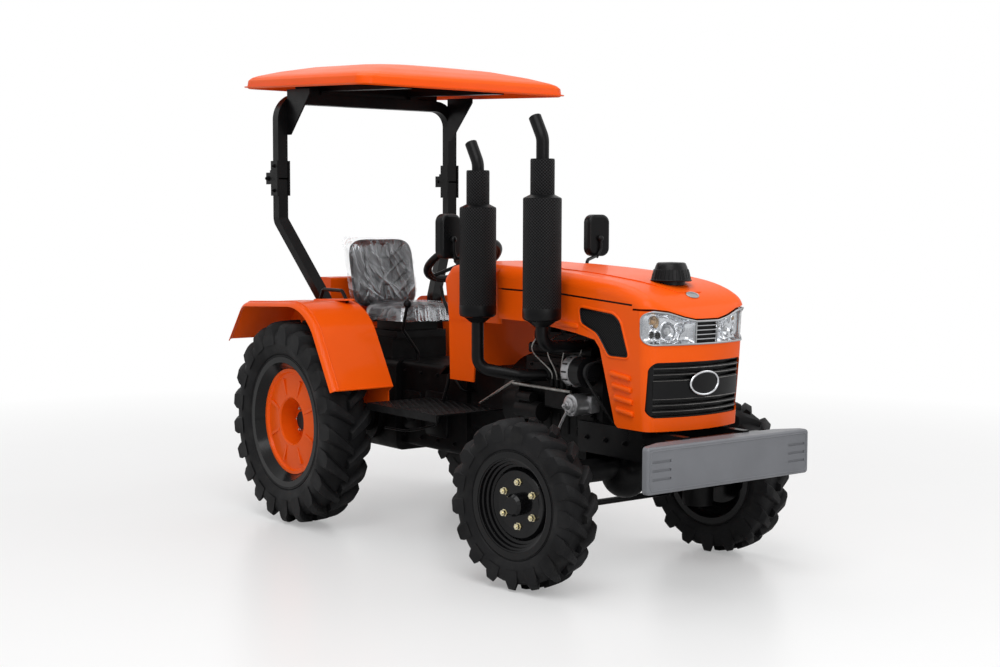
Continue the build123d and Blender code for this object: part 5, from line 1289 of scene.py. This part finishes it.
def dash():
    """Instrument panel with three dials on the dash's sloping top, and switches on its rear face."""
    out, across = unit((-1, 0, 1)), np.array([0, -1.0, 0])
    up = np.cross(out, across)
    place = np.array(DASH_AT) - PANEL_SUNK * out
    panel = plate(round_rect(*PANEL_HALF, 16), PANEL_DEPTH, 4, place, across, up)
    piece("dial_panel", panel, "black_plastic")
    spots = [(place + PANEL_DEPTH * out - y * across, radius) for y, radius in DIALS]
    rims, faces, marks = zip(*(dial(spot, radius, out, across, up) for spot, radius in spots))
    piece("dial_rims", join(rims), "chrome")
    piece("dial_faces", join(faces), "gloss_black")
    piece("dial_marks", join(marks), "white_mark")
    knobs = [lathe_at(SWITCH, 24, *on_node("cowl", (SWITCH_X, y, SWITCH_Z))) for y in SWITCH_Y]
    piece("dash_switches", join(knobs), "gloss_black")


def hand_wheel():
    """Cap in the middle of the steering wheel and a thicker grip round its ring."""
    cap = lathe_at(WHEEL_CAP, 40, WHEEL_CENTRE, COLUMN_AXIS)
    piece("wheel_cap", cap, "gloss_black", "hand_wheel")
    turn = around(120)
    ring = loop_tube(WHEEL_RING_R * points_of(np.cos(turn), np.sin(turn), 0), WHEEL_GRIP_R, 16)
    grip = aimed(ring, WHEEL_CENTRE, COLUMN_AXIS)
    piece("wheel_grip", grip, "black_plastic", "hand_wheel")


def mirror_faces():
    """Silvered glass on each mirror's rear face, and a ball joint on its back with the rod down to the
    stem."""
    glass, joints = [], []
    x, y, z = MIRROR_AT
    for side in SIDES:
        out = np.array([-math.cos(MIRROR_TURN), side * math.sin(MIRROR_TURN), 0])
        centre = np.array([x, side * y, z])
        across = np.cross([0, 0, 1.0], out)
        face = centre + (MIRROR_DEPTH / 2 - 0.4) * out
        glass.append(plate(round_rect(*MIRROR_HALF, MIRROR_CORNER), 2.5, 0.8, face, across, (0, 0, 1)))
        knob = centre - (MIRROR_DEPTH / 2 - 3) * out - np.array([0, 0, MIRROR_BALL_DROP])
        joints.append(lathe_at(MIRROR_BALL, 24, knob, -out))
        start, foot = knob - 13 * out, centre + np.array(MIRROR_FOOT) * [1, side, 1]
        route = [start, start - [0, 0, 50], foot + [8, 0, 10], foot]
        joints.append(tube(smooth_line(route, 16), MIRROR_ROD_R, 12))
    piece("mirror_faces", join(glass), "mirror_glass")
    piece("mirror_joints", join(joints), "black_plastic")


def fender_trim():
    """Pressed bead inside each fender's outer edge, rolled front and rear edges, the raised pad under the
    handle, and a web that closes the inner wall behind the axle."""
    line = filleted(FENDER_LINE, FENDER_BENDS)
    runs = [np.linspace(p, q, 4, endpoint=False) for p, q in zip(line, line[1:])]
    x, z = np.concatenate(runs + [line[-1:]]).T
    (rear_x, rear_z), (front_x, front_z) = FENDER_LINE[0], FENDER_LINE[-1]
    parts = []
    for side in SIDES:
        parts.append(tube(points_of(x, side * (FENDER_OUT_Y - FENDER_BEAD_IN), z), FENDER_BEAD_R, 10))
        across = side * np.linspace(FENDER_IN_Y + 6, FENDER_OUT_Y - 26, 24)
        for edge_x, edge_z in ((front_x - 1, front_z + 1), (rear_x + 1, rear_z + 1)):
            parts.append(tube(points_of(edge_x, across, edge_z), FENDER_EDGE_R, 10))
        place, out = on_node("fenders", (HANDLE_X, side * HANDLE_Y, FENDER_LINE[2][1] + 20))
        along = np.cross((0, 1.0, 0), out)
        parts.append(plate(round_rect(*HANDLE_PAD, 12), 9, 6, place - out, (0, -1, 0), along))
    web = plate(FENDER_WEB, 3, 1, (0, -FENDER_IN_Y - 1, 0), (1, 0, 0), (0, 0, 1))
    piece("fender_beads", join(parts + [mirrored(web)]), "orange_paint")


def platform_studs():
    """Rows of low round studs on both foot plates: one dome repeated over a staggered grid."""
    low, high = node_box("platforms")
    dome = lathe(STUD, 10)
    parts = []
    for side in SIDES:
        for row, x in enumerate(np.arange(low[0] + 30, high[0] - 20, STUD_STEP)):
            start = STUD_IN_Y + STUD_STEP / 2 * (row % 2)
            for y in np.arange(start, high[1] - 18, STUD_STEP):
                parts.append(moved(dome, (x, side * y, high[2] - 0.2)))
    piece("platform_studs", join(parts), "cast_black")


# Engine bay

def belt():
    """Fan belt: for each direction, the farthest of the three pulleys gives the belt's point, so straight
    runs join the arcs; its section is a flat rectangle."""
    turn = around(160)
    ray = np.stack([np.cos(turn), np.sin(turn)], -1)
    pulleys = np.array(PULLEYS, float)
    centres, radii = pulleys[:, :2], pulleys[:, 2]
    pick = np.argmax(ray @ centres.T + radii, 1)
    inner = centres[pick] + radii[pick, None] * ray
    outer = inner + BELT_H * ray
    section = ((-BELT_HALF_W, inner), (-BELT_HALF_W, outer), (BELT_HALF_W, outer), (BELT_HALF_W, inner))
    return closed(np.array([points_of(BELT_X + x, *line.T) for x, line in section]))


def injector_pipes():
    """Thin pipes from the pump's unions, spaced evenly along it, up to the injectors."""
    pitch = (PUMP_X[1] - PUMP_X[0]) / len(INJECTORS)
    pipes = []
    for i, x in enumerate(INJECTORS):
        union = PUMP_X[0] + (i + 0.5) * pitch
        route = [(union, *yz) for yz in PUMP_YZ] + [(x, *yz) for yz in PIPE_YZ]
        pipes.append(tube(smooth_line(route, 40), PIPE_R, 8))
    return join(pipes)


def lines_of(routes, count, sides):
    """Tubes along smooth lines through each route's points."""
    return join([tube(smooth_line(points, count), radius, sides) for points, radius in routes])


def engine_bay():
    """Belt, hoses, injector pipes, control rods and bars round the engine, then its covers and ribs."""
    piece("fan_belt", belt(), "hose_rubber")
    piece("coolant_hoses", lines_of(HOSES, 40, 16), "hose_rubber")
    piece("injector_pipes", injector_pipes(), "dull_steel")
    piece("control_rods", lines_of(RODS, 24, 10), "dull_steel")
    piece("black_bars", lines_of(BARS, 30, 12), "black_paint")
    engine_covers()
    ribs = []
    for side in SIDES:
        for x in np.arange(*BLOCK_RIB_X, BLOCK_RIB_STEP):
            ribs.append(tube([(x, side * y, z) for y, z in BLOCK_RIB_YZ], BLOCK_RIB_R, 8))
    piece("block_ribs", join(ribs), "cast_black")


def engine_covers():
    """Plates bolted to the engine's and the gearbox's sides, those of the gearbox with a round boss, and a
    block under each injector."""
    parts = []
    for side in SIDES:
        across, up = (-side, 0, 0), (0, 0, 1)
        for x, z, *half in COVERS:
            parts.append(plate(round_rect(*half, 14), 12, 4, (x, side * COVER_Y, z), across, up))
        for x, z, *half in CASE_COVERS:
            parts.append(plate(round_rect(*half, 24), 14, 5, (x, side * CASE_COVER_Y, z), across, up))
            parts.append(lathe_at(BOSS, 40, (x, side * BOSS_Y, z), (0, side, 0)))
    block = round_rect(INJECTOR_HALF, INJECTOR_HALF, 8)
    for x in INJECTORS:
        parts.append(plate(block, INJECTOR_H, 4, (x, *INJECTOR_YZ), (1, 0, 0), (0, 1, 0)))
    piece("engine_covers", join(parts), "cast_black")


def alternator_fins():
    """Bright rear half of the alternator with dark slots round it and four bolts through its end."""
    low, _ = node_box("alternator")
    y, z = ALTERNATOR_YZ
    parts = []
    for turn in around(4) + 0.4:
        reach = ALTERNATOR_BOLT_R * np.array([math.cos(turn), math.sin(turn)])
        parts.append(aimed(hex_nut(6, 5), (low[0] - 2.5, y + reach[0], z + reach[1]), (-1, 0, 0)))
    parts.append(lathe_at(ALTERNATOR_CASE, 56, (low[0], y, z), (1, 0, 0)))
    piece("alternator_ribs", join(parts), "cast_metal")
    slots = []
    for turn in around(12):
        ray = np.array([0, math.cos(turn), math.sin(turn)])
        spot = np.array([low[0], y, z]) + ALTERNATOR_SLOT_R * ray
        slots.append(tube([spot + [12, 0, 0], spot + [40, 0, 0]], 4.2, 8))
    piece("alternator_slots", join(slots), "gloss_black")


def pump_cap():
    """Bright stepped cap on the filter's outer end, with a hexagon plug and the rod that runs down from
    it."""
    low, _ = node_box("oil_filter")
    foot = np.array([FILTER_X, low[1], FILTER_Z])
    end, out = foot + [0, 1, 0], (0, -1, 0)
    cap = lathe_at(FILTER_CAP, 40, end, out)
    plug = aimed(hex_nut(11, 12), end - [0, 30, 0], out)
    rod = tube(smooth_line(foot + np.array(FILTER_ROD), 16), 6, 12)
    piece("pump_cap", join([cap, plug, rod]), "cast_metal")


def bolt_heads():
    """Hexagon heads where castings and brackets meet, row by row."""
    rows = []
    for side in SIDES:
        out = (0, side, 0)
        for x, z, half_x, half_z in COVERS:
            reach_x, reach_z = half_x - COVER_BOLT_IN, half_z - COVER_BOLT_IN
            corners = [(x + i * reach_x, side * COVER_BOLT_Y, z + j * reach_z) for i in SIDES for j in SIDES]
            rows += [(corner, out, COVER_BOLT_R) for corner in corners]
        for stations, y, heights, radius in SIDE_BOLTS:
            rows += [((x, side * y, z), out, radius) for x in stations for z in heights]
        rows += [((POST_X, side * CLAMP_Y, FOLD_Z + rise), out, CLAMP_BOLT_R) for rise in CLAMP_BOLT_RISES]
        rows += [((x, side * HEAD_BOLT_Y, HEAD_BOLT_Z), (0, 0, 1), HEAD_BOLT_R) for x in HEAD_BOLT_X]
    rows += [((FOLD_X, side * CLAMP_Y, FOLD_Z), (0, side, 0), FOLD_BOLT_R) for side in SIDES]
    parts = [aimed(hex_nut(radius, 0.75 * radius), spot, out) for spot, out, radius in rows]
    piece("bolt_heads", join(parts), "black_paint")


def weight_border():
    """Thin raised line round the front weight's face."""
    flat = round_rect(WEIGHT_HALF_Y - WEIGHT_EDGE, WEIGHT_HALF_Z - WEIGHT_EDGE, 16, 8)
    path = points_of(WEIGHT_X - 0.5, flat[:, 0], WEIGHT_MID_Z + flat[:, 1])
    piece("weight_border", loop_tube(path, 3, 8), "grey_paint")


def hitch_trim():
    """Arched guard over the power take-off, and hydraulic couplers."""
    turn = np.linspace(math.pi * 0.05, math.pi * 0.95, 25)
    x = np.linspace(*GUARD_X, 8)[:, None]
    wall = points_of(x, GUARD_HALF_Y * np.cos(turn), GUARD_Z + GUARD_H * np.sin(turn))
    piece("shaft_guard", shell(wall, 4), "black_paint")
    couplers = [lathe_at(COUPLER, 20, (COUPLER_X, y, COUPLER_Z), (-1, 0, 0.1)) for y in COUPLER_Y]
    piece("hose_couplers", join(couplers), "dull_steel")


# Stage

def floor():
    """Pale floor that keeps the shadow and, as the camera sees it, rises to plain white away from the
    middle."""
    mesh = bpy.data.meshes.new("floor")
    corners = [(x * FLOOR_HALF, y * FLOOR_HALF, 0) for x, y in ((-1, -1), (1, -1), (1, 1), (-1, 1))]
    mesh.from_pydata(corners, [], [(0, 1, 2, 3)])
    thing = linked("floor", mesh)
    finish = Finish("floor", (0.8, 0.8, 0.8), 0.3, Specular_IOR_Level=0.3)
    finish.uneven(0.6, 0.99, 0.03)
    glow = finish.add("Emission", {"Color": WHITE})
    reach = finish.add("VectorMath", {0: finish.place()}, operation="LENGTH")
    white = finish.ramp(reach.outputs["Value"], *FLOOR_FADE, FLOOR_GLOW, 1.0)
    seen = finish.maths("MULTIPLY", finish.add("LightPath").outputs["Is Camera Ray"], white)
    blend = finish.add("MixShader", {
        "Fac": seen, 1: finish.shader.outputs["BSDF"], 2: glow.outputs["Emission"]})
    finish.feed(finish.tree.nodes["Material Output"].inputs["Surface"], blend.outputs["Shader"])
    mesh.materials.append(finish.material)


def surround():
    """White world: full white to the camera, in gloss and through glass, and weaker as light."""
    world = bpy.data.worlds.new("studio")
    bpy.context.scene.world = world
    world.use_nodes = True
    nodes = Nodes(world.node_tree)
    ray = nodes.add("LightPath").outputs
    in_gloss = nodes.maths("MAXIMUM", ray["Is Glossy Ray"], ray["Is Transmission Ray"])
    seen = nodes.maths("MAXIMUM", ray["Is Camera Ray"], in_gloss)
    sky = world.node_tree.nodes["Background"]
    nodes.feed(sky.inputs["Color"], WHITE)
    nodes.feed(sky.inputs["Strength"], nodes.ramp(seen, 0, 1, SKY_LIGHT, 1.0))


def lamp(name, place, target, size, power):
    """Square soft lamp aimed at a point."""
    data = bpy.data.lights.new(name, "AREA")
    data.shape = "SQUARE"
    data.size = size
    data.energy = power
    aim = np.array(target, float) - np.array(place, float)
    linked(name, data).matrix_world = look_matrix(place, aim)


def look_matrix(place, forward, roll=0.0):
    """Matrix of a thing that looks along forward (its -z) from place, turned by roll about that line."""
    forward = unit(forward)
    right = unit(np.cross(forward, [0, 0, 1.0]))
    up = np.cross(right, forward)
    side = right * math.cos(roll) + up * math.sin(roll)
    top = up * math.cos(roll) - right * math.sin(roll)
    matrix = np.eye(4)
    matrix[:3, :3] = np.stack([side, top, -forward], -1)
    matrix[:3, 3] = place
    return Matrix(matrix.tolist())


def camera():
    """Camera at the photograph's viewing angle."""
    data = bpy.data.cameras.new("camera")
    data.lens = LENS
    data.sensor_width = SENSOR
    data.sensor_fit = "HORIZONTAL"
    thing = linked("camera", data)
    level = math.cos(CAMERA_PITCH)
    forward = (math.cos(CAMERA_YAW) * level, math.sin(CAMERA_YAW) * level, math.sin(CAMERA_PITCH))
    thing.matrix_world = look_matrix(metres(CAMERA_AT), forward, CAMERA_ROLL)
    bpy.context.scene.camera = thing


bpy.context.scene.view_settings.view_transform = "Standard"
dress_nodes()
wheels()
stacks()
headlamps()
grille_trim()
vents()
side_pressings()
hood_gap_shade()
intake_cap()
canopy()
seat()
dash()
hand_wheel()
mirror_faces()
fender_trim()
platform_studs()
engine_bay()
alternator_fins()
pump_cap()
bolt_heads()
weight_border()
hitch_trim()
floor()
surround()
for lamp_name, sizes in LAMPS.items():
    lamp(lamp_name, *sizes)
camera()
